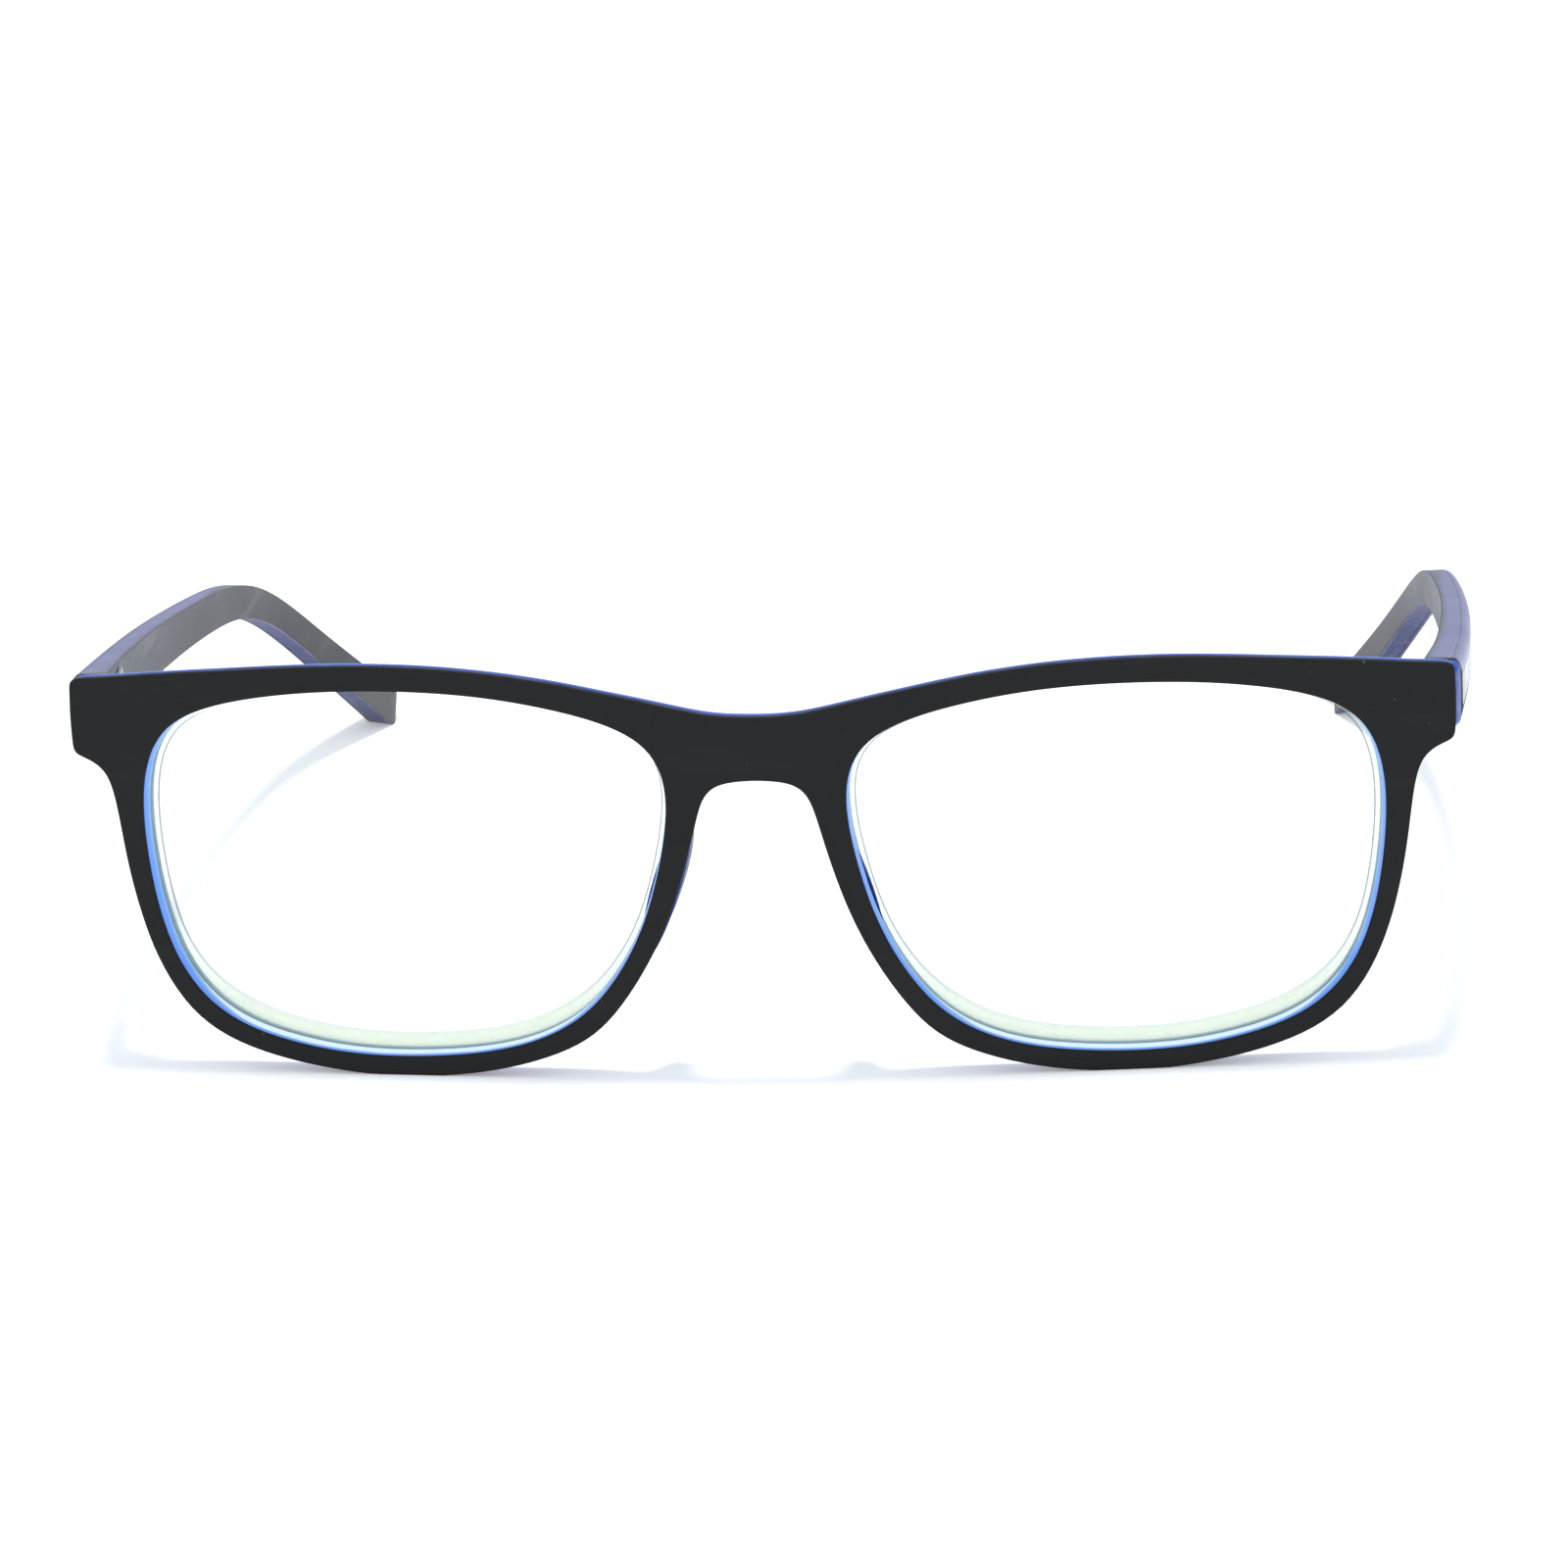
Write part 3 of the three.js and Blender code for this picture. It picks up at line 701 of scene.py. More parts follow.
def soft_black(name, dark, light, edges, roughness, specular, sheen, grain):
    """Moulded plastic: a sandy skin that is flatter on a smoother finish, cloudy tone, faint handling
    marks, and edges that turn to another tone in patches: lighter where worn, darker on the face panel."""
    finish, tree, shader = new_finish(
        name, specular_ior_level=specular, sheen_weight=sheen, sheen_roughness=0.45,
        sheen_tint=srgb(200, 202, 215),
    )
    cloud = noise(tree, 85, 5)
    sand = noise(tree, 5200, 2)
    marks = noise(tree, 420, 4, grain, 0.6)
    colour = ramp(tree, cloud, [(0.3, dark), (0.7, light)])
    dust = spread(tree, noise(tree, 1500, 1), 0, 0.5, 0.79, 0.83)
    colour = mixed(tree, dust, colour, srgb(120, 120, 122))
    colour = edge_patches(tree, colour, edges)
    tree.links.new(colour, shader.inputs["Base Color"])
    cloudy = spread(tree, cloud, roughness - 0.04, roughness + 0.05)
    rough = computed(tree, "ADD", cloudy, spread(tree, marks, 0.05, -0.06, 0.55, 0.7))
    tree.links.new(rough, shader.inputs["Roughness"])
    coarse = noise(tree, 1400, 3)
    normal = bump(tree, [(sand, 0.000007 * roughness**2), (coarse, 0.000013 * roughness)])
    tree.links.new(normal, shader.inputs["Normal"])
    return finish


def temple_blue():
    """Soft-touch blue plastic, with fine rubbing marks and worn edges. Its pale grey-lavender top is
    partly its own colour and partly painted sheen, and one attribute paints shade on the underside by
    deepening it to navy. Another lays ragged black over it: real black paint over the top, and painted
    shade at the joint end."""
    finish, tree, shader = new_finish(
        "temple_blue", specular_ior_level=0.3, sheen_roughness=0.4,
        sheen_tint=srgb(214, 214, 232),
    )
    lines = noise(tree, 900, 3, (1, 0.06, 1))
    cloud = noise(tree, 160, 5, distortion=0.4)
    # The pale grey-lavender is partly the plastic's colour and partly painted sheen; the deeper navy is
    # painted shade for the underside.
    colour = ramp(tree, cloud, [(0.32, srgb(84, 84, 124)), (0.68, srgb(98, 97, 138))])
    under_shade_colour = ramp(tree, cloud, [(0.32, srgb(16, 24, 78)), (0.68, srgb(24, 34, 96))])
    painted_under_shade = attribute(tree, "painted_under_shade")
    colour = mixed(tree, painted_under_shade, colour, under_shade_colour)
    tree.links.new(spread(tree, painted_under_shade, 0.5, 0.05, 0, 1), shader.inputs["Sheen Weight"])
    rubbed = spread(tree, lines, 0, 0.3, 0.5, 0.7)
    colour = mixed(tree, rubbed, colour, srgb(120, 118, 150))
    colour = edge_patches(tree, colour, srgb(140, 142, 176))
    # Ragged black: real paint over the top, and painted shade at the joint end.
    ragged = spread(tree, noise(tree, 1900, 4), -0.13, 0.13, 0.35, 0.65)
    edge = computed(tree, "ADD", attribute(tree, "paint_and_joint_shade"), ragged)
    colour = mixed(tree, spread(tree, edge, 0, 1, 0.2, 0.8), colour, srgb(52, 51, 54))
    tree.links.new(colour, shader.inputs["Base Color"])
    tree.links.new(spread(tree, lines, 0.48, 0.6), shader.inputs["Roughness"])
    normal = bump(tree, [(noise(tree, 2600, 2), 0.000008), (lines, 0.000006)])
    tree.links.new(normal, shader.inputs["Normal"])
    return finish


def core_blue():
    """Tinted plastic with light and shade painted in from the "light" attribute: painted shade makes it
    navy by the face, painted light makes it bright in its depth and on the lips, and the brightest parts
    glow by emission as painted light; with cloudy tone, polishing lines and worn edges."""
    finish, tree, shader = new_finish(
        "core_blue", specular_ior_level=0.1, coat_weight=0.02, coat_roughness=0.2,
    )
    cloud = spread(tree, noise(tree, 140, 5, distortion=0.4), -0.03, 0.03)
    lines = noise(tree, 900, 3, (0.05, 1, 1))
    amount = computed(tree, "ADD", attribute(tree, "light"), cloud)
    colour = ramp(tree, amount, [
        (0, srgb(5, 8, 16)), (0.14, srgb(7, 13, 44)), (0.24, srgb(22, 48, 130)),
        (0.36, srgb(52, 96, 186)), (0.48, srgb(74, 118, 206)), (0.66, srgb(84, 130, 216)),
        (0.82, srgb(94, 142, 222)), (0.91, srgb(134, 166, 196)), (0.97, srgb(206, 222, 234)),
    ])
    colour = edge_patches(tree, colour, srgb(120, 140, 210))
    tree.links.new(colour, shader.inputs["Base Color"])
    # Painted glow: the core's colour is emitted where the painted light is brightest.
    tree.links.new(colour, shader.inputs["Emission Color"])
    tree.links.new(spread(tree, amount, 0, PAINTED_LIP_GLOW, 0.5, 0.7), shader.inputs["Emission Strength"])
    tree.links.new(spread(tree, lines, 0.28, 0.42), shader.inputs["Roughness"])
    normal = bump(tree, [(noise(tree, 2600, 2), 0.000008), (lines, 0.000006)])
    tree.links.new(normal, shader.inputs["Normal"])
    return finish


def brushed_steel(name, tone, stretch, roughness):
    """Stamped or turned steel with brushing along one direction and darker stains."""
    finish, tree, shader = new_finish(name, metallic=1)
    brushing = noise(tree, 2400, 4, stretch)
    stains = noise(tree, 700, 4)
    dull = [0.72 * value for value in tone]
    colour = ramp(tree, brushing, [(0.3, srgb(*dull)), (0.7, srgb(*tone))])
    stained = [0.5 * value for value in tone]
    colour = mixed(tree, spread(tree, stains, 0, 0.45, 0.5, 0.72), colour, srgb(*stained))
    tree.links.new(colour, shader.inputs["Base Color"])
    rough = spread(tree, brushing, roughness - 0.08, roughness + 0.1)
    tree.links.new(rough, shader.inputs["Roughness"])
    tree.links.new(bump(tree, [(brushing, 0.00001)]), shader.inputs["Normal"])
    return finish


def lens_plastic():
    """Clear lens with a pale tint. The "edge" attribute, in millimetres in from the opening's edge,
    colours the bevelled margin: blue-green by the rim, then milky, then the bevel's fine grey line."""
    finish, tree, frost = new_finish("lens_clear", roughness=0.3, specular_ior_level=0.4)
    edge = attribute(tree, "edge")
    along = spread(tree, edge, 0, 1, 0, 2)
    streaks = noise(tree, 3200, 3, (1, 0.3, 1))
    haze = noise(tree, 60, 4)
    pale = ramp(tree, haze, [(0.3, (0.985, 0.995, 0.985, 1)), (0.7, (0.995, 1, 0.99, 1))])
    at_side = ramp(tree, along, [
        (0, srgb(140, 176, 196)), (0.08, srgb(176, 200, 204)), (0.2, srgb(236, 246, 240)),
        (0.58, srgb(246, 250, 246)), (0.65, srgb(150, 158, 162)), (0.72, srgb(150, 158, 162)),
        (0.8, grey(1)),
    ])
    at_bottom = ramp(tree, along, [
        (0, srgb(150, 176, 172)), (0.05, srgb(166, 190, 180)), (0.1, srgb(222, 232, 226)),
        (0.22, srgb(220, 226, 210)), (0.55, srgb(220, 226, 210)), (0.7, srgb(214, 221, 212)),
        (0.76, srgb(212, 218, 214)), (0.8, grey(1)),
    ])
    margin = mixed(tree, attribute(tree, "low"), at_side, at_bottom)
    scuffs = spread(tree, streaks, 0, 1, 0.5, 0.72)
    in_margin = spread(tree, edge, 0.3, 0, 1.38, 1.42)
    margin = mixed(tree, computed(tree, "MULTIPLY", scuffs, in_margin), margin, srgb(176, 200, 188))
    opened = attribute(tree, "open")
    margin = mixed(tree, opened, margin, grey(1))
    tint = mixed(tree, 1.0, pale, margin, "MULTIPLY")
    tree.links.new(margin, frost.inputs["Base Color"])
    tree.links.new(bump(tree, [(streaks, 0.00002)]), frost.inputs["Normal"])
    solid = ramp(tree, along, [
        (0, grey(0.95)), (0.1, grey(0.8)), (0.26, grey(0.35)), (0.74, grey(0.25)), (0.79, grey(0)),
    ])
    solid = mixed(tree, opened, solid, grey(0))
    clear = add_node(tree, "ShaderNodeBsdfTransparent", {"Color": tint})
    gloss = add_node(tree, "ShaderNodeBsdfGlossy", {"Roughness": 0.03})
    facing = add_node(tree, "ShaderNodeLayerWeight", {"Blend": 0.5}).outputs["Facing"]
    mirror = spread(tree, computed(tree, "POWER", facing, 5), 0.025, 0.8, 0, 1)
    glass = add_node(
        tree, "ShaderNodeMixShader", {0: mirror, 1: clear.outputs[0], 2: gloss.outputs[0]}
    )
    whole = add_node(
        tree, "ShaderNodeMixShader", {0: solid, 1: glass.outputs[0], 2: frost.outputs[0]}
    )
    tree.links.new(whole.outputs[0], tree.nodes["Material Output"].inputs["Surface"])
    return finish


# Handling marks are stretched across the front and along the temples.
ACROSS = (0.12, 1, 1)
ALONG = (1, 0.12, 1)
# On the face panel the sharp convex edges turn darker, not lighter, in patches.
FACE_BLACK = soft_black(
    "face_black", srgb(30, 30, 30), srgb(35, 34, 34), srgb(12, 13, 18), 0.62, 0.14, 0, ACROSS
)
INNER_BLACK = soft_black(
    "inner_black", srgb(34, 32, 32), srgb(46, 43, 42), srgb(76, 74, 76), 0.55, 0.4, 0.3, ALONG
)
OUTER_BLACK = soft_black(
    "outer_black", srgb(30, 30, 32), srgb(36, 36, 38), srgb(70, 72, 76), 0.14, 0.9, 0.1, ALONG
)
CORE_BLUE = core_blue()
TEMPLE_BLUE = temple_blue()
LEAF_STEEL = brushed_steel("leaf_steel", (196, 197, 200), (1, 1, 0.06), 0.34)
SCREW_STEEL = brushed_steel("screw_steel", (122, 122, 126), (1, 1, 0.3), 0.3)
WIRE_STEEL = brushed_steel("wire_steel", (205, 206, 208), (1, 0.05, 1), 0.3)
LENS_CLEAR = lens_plastic()


# -------------------- the front

def nose_pad():
    """A moulded pad that flares out of the rim's back and leans with the nose."""
    rings = []
    tilt = Matrix.Rotation(math.radians(PAD_TILT), 2)
    for depth, half_width, half_height in PAD_SECTIONS:
        rise = max(depth - CORE_BACK, 0)
        middle = Vector((PAD_CENTRE[0] + PAD_LEAN[0] * rise, PAD_CENTRE[1] + PAD_LEAN[1] * rise))
        ring = []
        for k in range(PAD_POINTS):
            angle = 2 * math.pi * k / PAD_POINTS
            local = Vector((half_width * math.cos(angle), half_height * math.sin(angle)))
            place = middle + tilt @ local
            ring.append(wrap_point(place.x, depth, place.y))
        rings.append(ring)
    return loft(rings)


def end_block():
    """The solid behind the end piece, whose square back meets the temple, and its painted light and
    shade.
    """
    rings = []
    lights = []
    for depth, narrow, raised, light in BLOCK_SECTIONS:
        inner = BLOCK["inner"] + (BLOCK_NECK if depth < BLOCK_NECK_END else 0) + BLOCK_INNER_CORNER
        outer = BLOCK["outer"] - narrow - BLOCK_CORNER
        low = BLOCK["low"] + raised
        high = BLOCK["high"] - raised * BLOCK_TOP_SHARE
        corners = [
            (outer, low + BLOCK_CORNER, BLOCK_CORNER, -90, light),
            (outer, high - BLOCK_CORNER, BLOCK_CORNER, 0, light),
            (inner, high - BLOCK_INNER_CORNER, BLOCK_INNER_CORNER, 90, SHADE),
            (inner, low + BLOCK_INNER_CORNER, BLOCK_INNER_CORNER, 180, SHADE),
        ]
        ring = []
        for x, z, radius, start, corner_light in corners:
            corner = arc(x, z, radius, radius, start)
            ring += [(across, FRONT_Y + depth, rise) for across, rise in corner]
            lights += [corner_light] * len(corner)
        rings.append(ring)
    return loft(rings), lights


def lens_shape():
    """Rings from the middle of the front over the edge to the middle of the back, and for each point
    its distance in from the edge, how low it lies on the margin and how far the margin has faded."""
    centre_u, centre_v = OPENING_CENTRE

    def shrunk(loop, scale):
        return [
            (centre_u + (u - centre_u) * scale, centre_v + (v - centre_v) * scale) for u, v in loop
        ]

    def dome_rings(edge):
        distance, depth = edge
        loop = offset_loop(LEFT_OPENING, distance)
        return [
            (shrunk(loop, scale), depth - LENS_DOME * (1 - scale**2), PAST_MARGIN)
            for scale in LENS_SCALES
        ]

    rings = list(reversed(dome_rings(LENS_FRONT_EDGE[0])))
    for distance, depth in LENS_FRONT_EDGE:
        rings.append((offset_loop(LEFT_OPENING, distance), depth, PAST_MARGIN))
    for distance, depth in LENS_BACK_EDGE + [LENS_BACK_EDGE_LAST]:
        rings.append((offset_loop(LEFT_OPENING, distance), depth, -distance))
    rings += dome_rings(LENS_BACK_EDGE_LAST)
    shape = loft([[wrap_point(u, depth, v) for u, v in loop] for loop, depth, _ in rings])
    lows = [1 - smooth_step((v - MARGIN_LOW) / MARGIN_RISE) for _, v in LEFT_OPENING]
    edges = [value * (1 + MARGIN_NARROWER * (1 - low)) for _, _, value in rings for low in lows]
    tops = [smooth_step((v - MARGIN_FADE_START) / MARGIN_FADE) for _, v in LEFT_OPENING]
    return shape, {"edge": edges, "low": lows * len(rings), "open": tops * len(rings)}


def build_front():
    face, _ = wrapped_plate(FACE_OUTER_EDGE, FACE_OPENING_EDGE)
    make_piece("front_face_panel", face, FACE_BLACK, "front", ["front_face"])
    core, lights = wrapped_plate(core_outer_edge(), CORE_OPENING_EDGE)
    pads = [nose_pad(), mirrored(nose_pad())]
    block, block_lights = end_block()
    lights += [SHADE] * sum(len(pad[0]) for pad in pads) + block_lights * 2
    whole = merged(core, *pads, block, mirrored(block))
    make_piece(
        "front_core_body", whole, CORE_BLUE, "front", ["front_core"], {"light": lights}
    )
    shape, values = lens_shape()
    for hand in ("left", "right"):
        make_piece(
            f"{hand}_lens_plate", sided(hand, shape), LENS_CLEAR, "front",
            [f"{hand}_lens"], values,
        )


# -------------------- the temples

def temple_frames():
    """Frames along the left temple, with one more close to the joint: place, up, outward, half height
    and half thickness."""
    rows = open_spline(TEMPLE_ROWS, TEMPLE_STEPS)
    rows.insert(1, tuple(a + (b - a) * JOINT_SHARE for a, b in zip(rows[0], rows[1])))
    frames = []
    for i, row in enumerate(rows):
        before = rows[max(i - 1, 0)]
        after = rows[min(i + 1, len(rows) - 1)]
        ahead = Vector((after[1] - before[1], after[0] - before[0], after[2] - before[2])).normalized()
        up = Vector((0, -ahead.z, ahead.y)).normalized()
        outward = Vector((ahead.y, -ahead.x, 0)).normalized()
        square = smooth_step(1 - (row[0] - rows[0][0]) / SQUARE_LENGTH)
        frames.append({
            "place": Vector((row[1], FRONT_Y + row[0], row[2])),
            "ahead": ahead,
            "up": up.lerp(Vector((0, 0, 1)), square).normalized(),
            "outward": outward.lerp(Vector((1, 0, 0)), square).normalized(),
            "top": row[3] / 2,
            "side": row[4] / 2,
        })
    tip = frames[-1]
    for distance in TIP_STEPS:
        share = math.sqrt(1 - (distance / TIP_LENGTH) ** 2)
        frames.append({
            **tip,
            "place": tip["place"] + tip["ahead"] * distance,
            "top": tip["top"] * share,
            "side": tip["side"] * share,
        })
    return frames


TEMPLE_FRAMES = temple_frames()


def section_ring(place, section):
    """Section points, across and up, put round a temple frame and kept above the floor."""
    ring = []
    for across, rise in section:
        point = place["place"] + place["outward"] * across + place["up"] * rise
        ring.append((point.x, point.y, max(point.z, 0)))
    return ring


def core_section(place):
    """The blue middle of the laminate: a flat inner side, rounded outer corners beyond a fine seam,
    and a recess for the outer strip."""
    side, top = place["side"], place["top"]
    inner = min(INNER_VENEER + SEAM, 0.6 * side) - side
    drop = 2 * top * BEVEL_SHARE
    across = BEVEL_ACROSS * min(1, side / FULL_BEVEL_SIDE)
    outer = side - across
    strip = top - drop - STRIP_STEP
    groove = min(SEAM_GROOVE, 0.1 * side)
    upper = [(side - VENEER * min(1, side), strip), (side, strip)]
    upper += arc(outer, top - drop, across, drop, 0)
    upper.append((outer - groove, top - groove))
    flat_end = outer - 2 * groove
    for k in range(TOP_STEPS + 1):
        upper.append((flat_end + (inner - flat_end) * k / TOP_STEPS, top))
    return upper + [(x, -z) for x, z in reversed(upper)]


def core_paint_and_joint_shade():
    """How far black covers each point of the blue middle: over the front end it is painted shade in the
    joint; as real black paint it creeps over the top's inner edge and covers the whole top behind the
    ear's bend."""
    cover = []
    for i, place in enumerate(TEMPLE_FRAMES):
        # The frames at the joint are covered whole, as painted shade in the joint.
        if i < SHADED_JOINT_FRAMES:
            cover += [1] * len(core_section(place))
            continue
        behind = place["place"].y - FRONT_Y
        reach = PAINT_EDGE + smooth_step((behind - PAINT_START) / PAINT_SPREAD)
        for across, rise in core_section(place):
            share = 0.5 - 0.5 * across / place["side"]
            on_top = 1 if rise > 0.6 * place["top"] else 0
            cover.append(on_top * min(max(0.5 + (reach + share - 1) / PAINT_FADE, 0), 1))
    return cover


def core_under_shade():
    """1 for the points of the blue middle's underside, where shade is painted."""
    return [
        1 if rise < -0.5 * place["top"] else 0
        for place in TEMPLE_FRAMES for _, rise in core_section(place)
    ]


def inner_strip_section(place):
    """The black layer on the inner side, with small rounded corners."""
    side, top = place["side"], place["top"]
    inner = min(INNER_VENEER, 0.58 * side) - side
    radius = min(INNER_CORNER, 0.5 * side, 0.9 * (inner + side))
    upper = [(inner, top)] + arc(radius - side, top - radius, radius, radius, 90)
    return upper + [(x, -z) for x, z in reversed(upper)]


def outer_strip_section(place):
    """The black strip let into the outer side, slightly bevelled."""
    side, top = place["side"], place["top"]
    strip = top * (1 - 2 * BEVEL_SHARE) - STRIP_STEP - SEAM
    under_shade_colour = side - (VENEER - SEAM) * min(1, side)
    upper = [(under_shade_colour, strip), (side - STRIP_BEVEL, strip), (side, strip - STRIP_BEVEL)]
    return upper + [(x, -z) for x, z in reversed(upper)]


ON_FRONT = Matrix.Translation((PIVOT[0], FRONT_Y + PIVOT[1], 0))
ON_TEMPLE = ON_FRONT @ Matrix.Rotation(math.radians(TEMPLE_LEAF_TURN), 4, "Z")


def leaf_pocket():
    """Room in the temple's inner side for its leaf's plate and web."""
    def grown(span):
        return (span[0] - POCKET_GAP, span[1] + POCKET_GAP)

    thickness, length, height = TEMPLE_LEAF
    depth = (POCKET_MOUTH, thickness[1] + POCKET_GAP)
    plate = soft_block(depth, grown(length), grown(height), 0.25)
    web = soft_block(depth, POCKET_WEB, grown(MIDDLE_KNUCKLE), 0.05)
    return [moved_shape(plate, ON_TEMPLE), moved_shape(web, ON_TEMPLE)]


def build_temple(hand):
    def lofted(section, first=0):
        rings = [section_ring(place, section(place)) for place in TEMPLE_FRAMES[first:]]
        return sided(hand, loft(rings))

    body = f"{hand}_temple"
    pocket = [sided(hand, shape) for shape in leaf_pocket()]
    core = make_piece(
        f"{hand}_temple_body", lofted(core_section), TEMPLE_BLUE, body,
        [f"{hand}_temple_core"], {"paint_and_joint_shade": core_paint_and_joint_shade(), "painted_under_shade": core_under_shade()},
    )
    carve(core, pocket)
    inner = make_piece(
        f"{hand}_temple_inner_strip", lofted(inner_strip_section), INNER_BLACK, body,
        [f"{hand}_temple_inner_face"],
    )
    carve(inner, pocket)
    make_piece(
        f"{hand}_temple_outer_strip", lofted(outer_strip_section, 1), OUTER_BLACK, body,
        [f"{hand}_temple_outer_face"],
    )


# -------------------- the hinges

def knuckle(span):
    low, high = span
    flat = KNUCKLE_RADIUS - KNUCKLE_EDGE
    profile = [
        (BORE_RADIUS, low), (flat, low), (KNUCKLE_RADIUS, low + KNUCKLE_EDGE),
        (KNUCKLE_RADIUS, high - KNUCKLE_EDGE), (flat, high), (BORE_RADIUS, high),
    ]
    return turned(profile, closed=True)


def front_leaf():
    """A plate with an outer knuckle at each end."""
    x_span, y_span, z_span = FRONT_LEAF
    parts = [soft_block(x_span, y_span, z_span, 0.14)]
    for span in (LOWER_KNUCKLE, UPPER_KNUCKLE):
        parts.append(soft_block((x_span[1] - 0.5, -WEB_START), (y_span[0], 0.5), span, 0.1))
        parts.append(knuckle(span))
    return merged(*parts)


def temple_leaf():
    """A plate with the middle knuckle."""
    x_span, y_span, z_span = TEMPLE_LEAF
    plate = soft_block(x_span, y_span, z_span, 0.16)
    web = soft_block((WEB_START, x_span[1]), (0.1, y_span[0] + 0.6), MIDDLE_KNUCKLE, 0.1)
    return merged(plate, web, knuckle(MIDDLE_KNUCKLE))


def domed_screw(shaft, head, head_height, length):
    """A screw along +Z with its head's underside at 0."""
    profile = [
        (0, -length), (shaft * 0.7, -length), (shaft, -length + 0.2), (shaft, 0), (head * 0.94, 0),
        (head, 0.08), (head, head_height * 0.45), (head * 0.9, head_height * 0.72),
        (head * 0.66, head_height * 0.93), (head * 0.34, head_height), (0, head_height),
    ]
    return turned(profile)


def head_cutters(screw, reach, half_width, floor, angles):
    """Blades for the slots in a screw's head. Their reach and floor are shares of the head's size."""
    head, height = screw["head"], screw["head_height"]
    blade = soft_block(
        (-head * reach, head * reach), (-half_width, half_width), (height * floor, height + 1), 0.02
    )
    return [moved_shape(blade, Matrix.Rotation(math.radians(angle), 4, "Z")) for angle in angles]


def build_screw(name, hand, seat, screw, cutters, body, replaced):
    """A screw with its slots, turned and moved to its seat by a matrix."""
    def placed(shape):
        return sided(hand, moved_shape(shape, seat))

    piece = make_piece(
        name, placed(domed_screw(**screw)), SCREW_STEEL, body, [replaced]
    )
    carve(piece, [placed(cutter) for cutter in cutters])


def build_hinge(hand):
    make_piece(
        f"{hand}_front_leaf_plate", sided(hand, moved_shape(front_leaf(), ON_FRONT)), LEAF_STEEL,
        "front", [f"{hand}_front_hinge_leaf"],
    )
    make_piece(
        f"{hand}_temple_leaf_plate", sided(hand, moved_shape(temple_leaf(), ON_TEMPLE)), LEAF_STEEL,
        f"{hand}_temple", [f"{hand}_temple_hinge_leaf"],
    )
    top = UPPER_KNUCKLE[1] + PIN_LIFT
    pin = {**PIN, "length": top - LOWER_KNUCKLE[0] + PIN_BELOW}
    build_screw(
        f"{hand}_hinge_pin", hand, ON_FRONT @ Matrix.Translation((0, 0, top)), pin,
        head_cutters(pin, 1.2, 0.11, 0.45, [32]), "front", f"{hand}_hinge_screw",
    )
    cross = head_cutters(LEAF_SCREW, 0.62, 0.09, 0.35, [20, 110])
    facing_back = Matrix.Rotation(-math.pi / 2, 4, "X")
    for i, (x, z) in enumerate(FRONT_SCREWS):
        seat = ON_FRONT @ Matrix.Translation((x, FRONT_LEAF[1][1] + SCREW_LIFT, z)) @ facing_back
        build_screw(
            f"{hand}_front_screw_{i + 1}", hand, seat, LEAF_SCREW, cross, "front",
            f"{hand}_front_leaf_screw_{i + 1}",
        )
    facing_in = Matrix.Rotation(-math.pi / 2, 4, "Y")
    for i, (y, z) in enumerate(TEMPLE_SCREWS):
        seat = ON_TEMPLE @ Matrix.Translation((TEMPLE_LEAF[0][0] - SCREW_LIFT, y, z)) @ facing_in
        build_screw(
            f"{hand}_temple_screw_{i + 1}", hand, seat, LEAF_SCREW, cross, f"{hand}_temple",
            f"{hand}_temple_leaf_screw_{i + 1}",
        )


def finish_wires():
    """The core wires stay as the CAD has them, with their own steel."""
    for hand in ("left", "right"):
        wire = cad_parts[f"{hand}_temple_core_wire"]
        wire.data.materials.clear()
        wire.data.materials.append(WIRE_STEEL)


# -------------------- camera, light and table

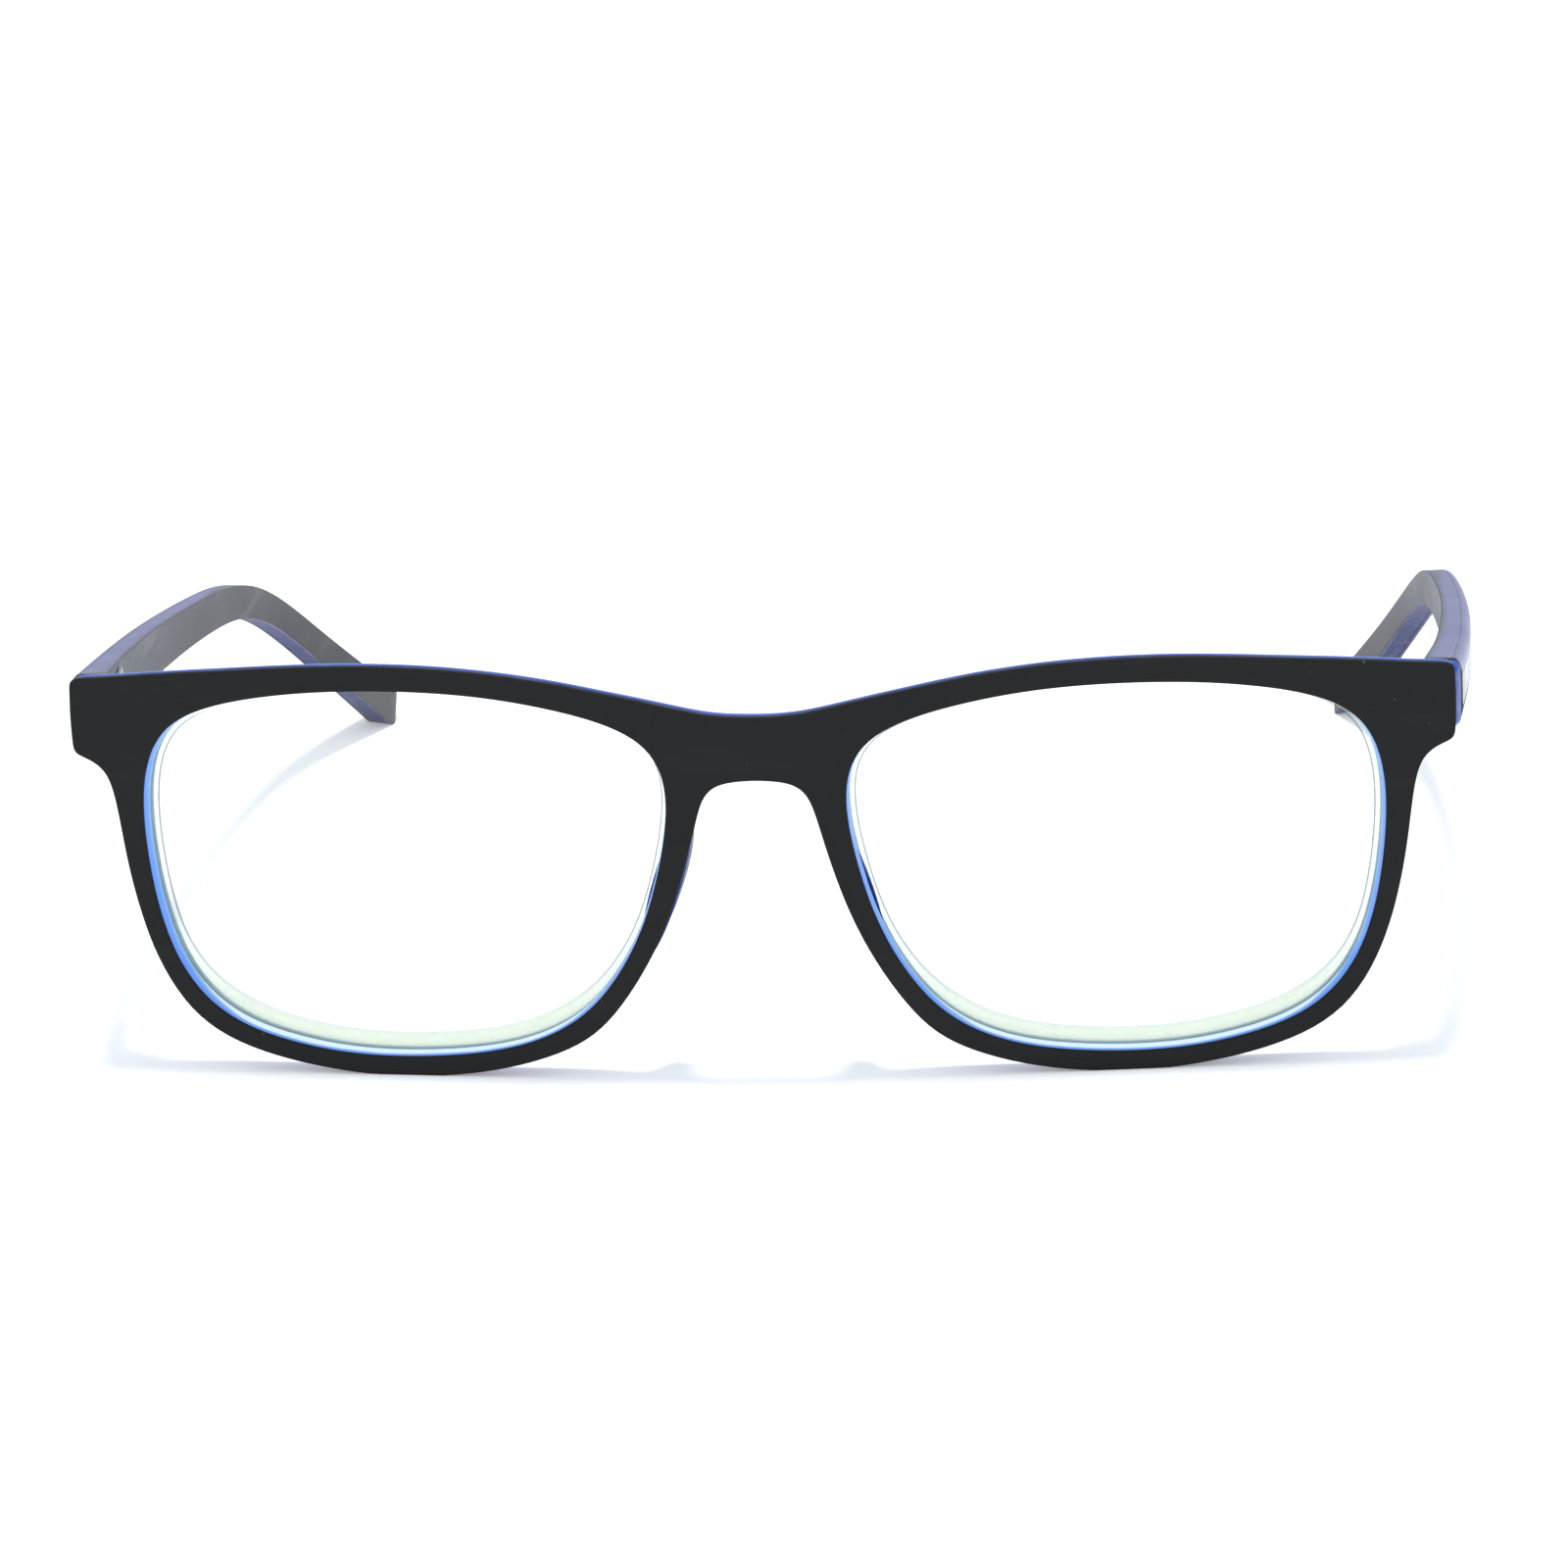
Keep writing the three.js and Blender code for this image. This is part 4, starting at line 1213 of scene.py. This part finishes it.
def place_camera():
    azimuth = math.radians(CAMERA_AZIMUTH)
    elevation = math.radians(CAMERA_ELEVATION)
    roll = math.radians(CAMERA_ROLL)
    back = Vector((
        math.sin(azimuth) * math.cos(elevation),
        -math.cos(azimuth) * math.cos(elevation),
        math.sin(elevation),
    ))
    right = Vector((math.cos(azimuth), math.sin(azimuth), 0))
    up = back.cross(right)
    rolled_right = right * math.cos(roll) + up * math.sin(roll)
    rolled_up = up * math.cos(roll) - right * math.sin(roll)
    data = bpy.data.cameras.new("camera")
    data.sensor_width = CAMERA_SENSOR
    data.lens = CAMERA_LENS
    data.clip_start = 0.05
    data.clip_end = 20
    camera = bpy.data.objects.new("camera", data)
    turn = Matrix((rolled_right, rolled_up, back)).transposed().to_4x4()
    place = (Vector(CAMERA_TARGET) + back * CAMERA_DISTANCE) * MM
    camera.matrix_world = Matrix.Translation(place) @ turn
    bpy.context.scene.collection.objects.link(camera)
    bpy.context.scene.camera = camera


def place_floor():
    mesh = clean_mesh("table", turned([(radius, 0) for radius in TABLE_RINGS], 64))
    finish, tree, shader = new_finish("table_white", roughness=0.8, specular_ior_level=0.1)
    tone = ramp(tree, noise(tree, 30, 2), [(0.3, grey(0.93)), (0.7, grey(0.94))])
    tree.links.new(tone, shader.inputs["Base Color"])
    shader.inputs["Emission Color"].default_value = grey(1)
    shader.inputs["Emission Strength"].default_value = TABLE_GLOW
    mesh.materials.append(finish)
    table = bpy.data.objects.new("table", mesh)
    table.location.z = -TABLE_DROP * MM
    bpy.context.scene.collection.objects.link(table)


def place_lights():
    """A pale sky and one broad lamp straight overhead, in Standard view so that white stays white."""
    world = bpy.data.worlds.new("studio")
    world.use_nodes = True
    background = world.node_tree.nodes["Background"]
    background.inputs["Color"].default_value = SKY_COLOUR
    background.inputs["Strength"].default_value = SKY_STRENGTH
    bpy.context.scene.world = world
    light = bpy.data.lights.new("overhead", "SUN")
    light.angle = math.radians(LAMP_SPREAD)
    light.energy = LAMP_STRENGTH
    lamp = bpy.data.objects.new("overhead", light)
    lamp.rotation_euler = (math.radians(-LAMP_LEAN), 0, 0)
    bpy.context.scene.collection.objects.link(lamp)
    bpy.context.scene.view_settings.view_transform = "Standard"


place_camera()
build_front()
for side_name in ("left", "right"):
    build_temple(side_name)
    build_hinge(side_name)
finish_wires()
place_floor()
place_lights()
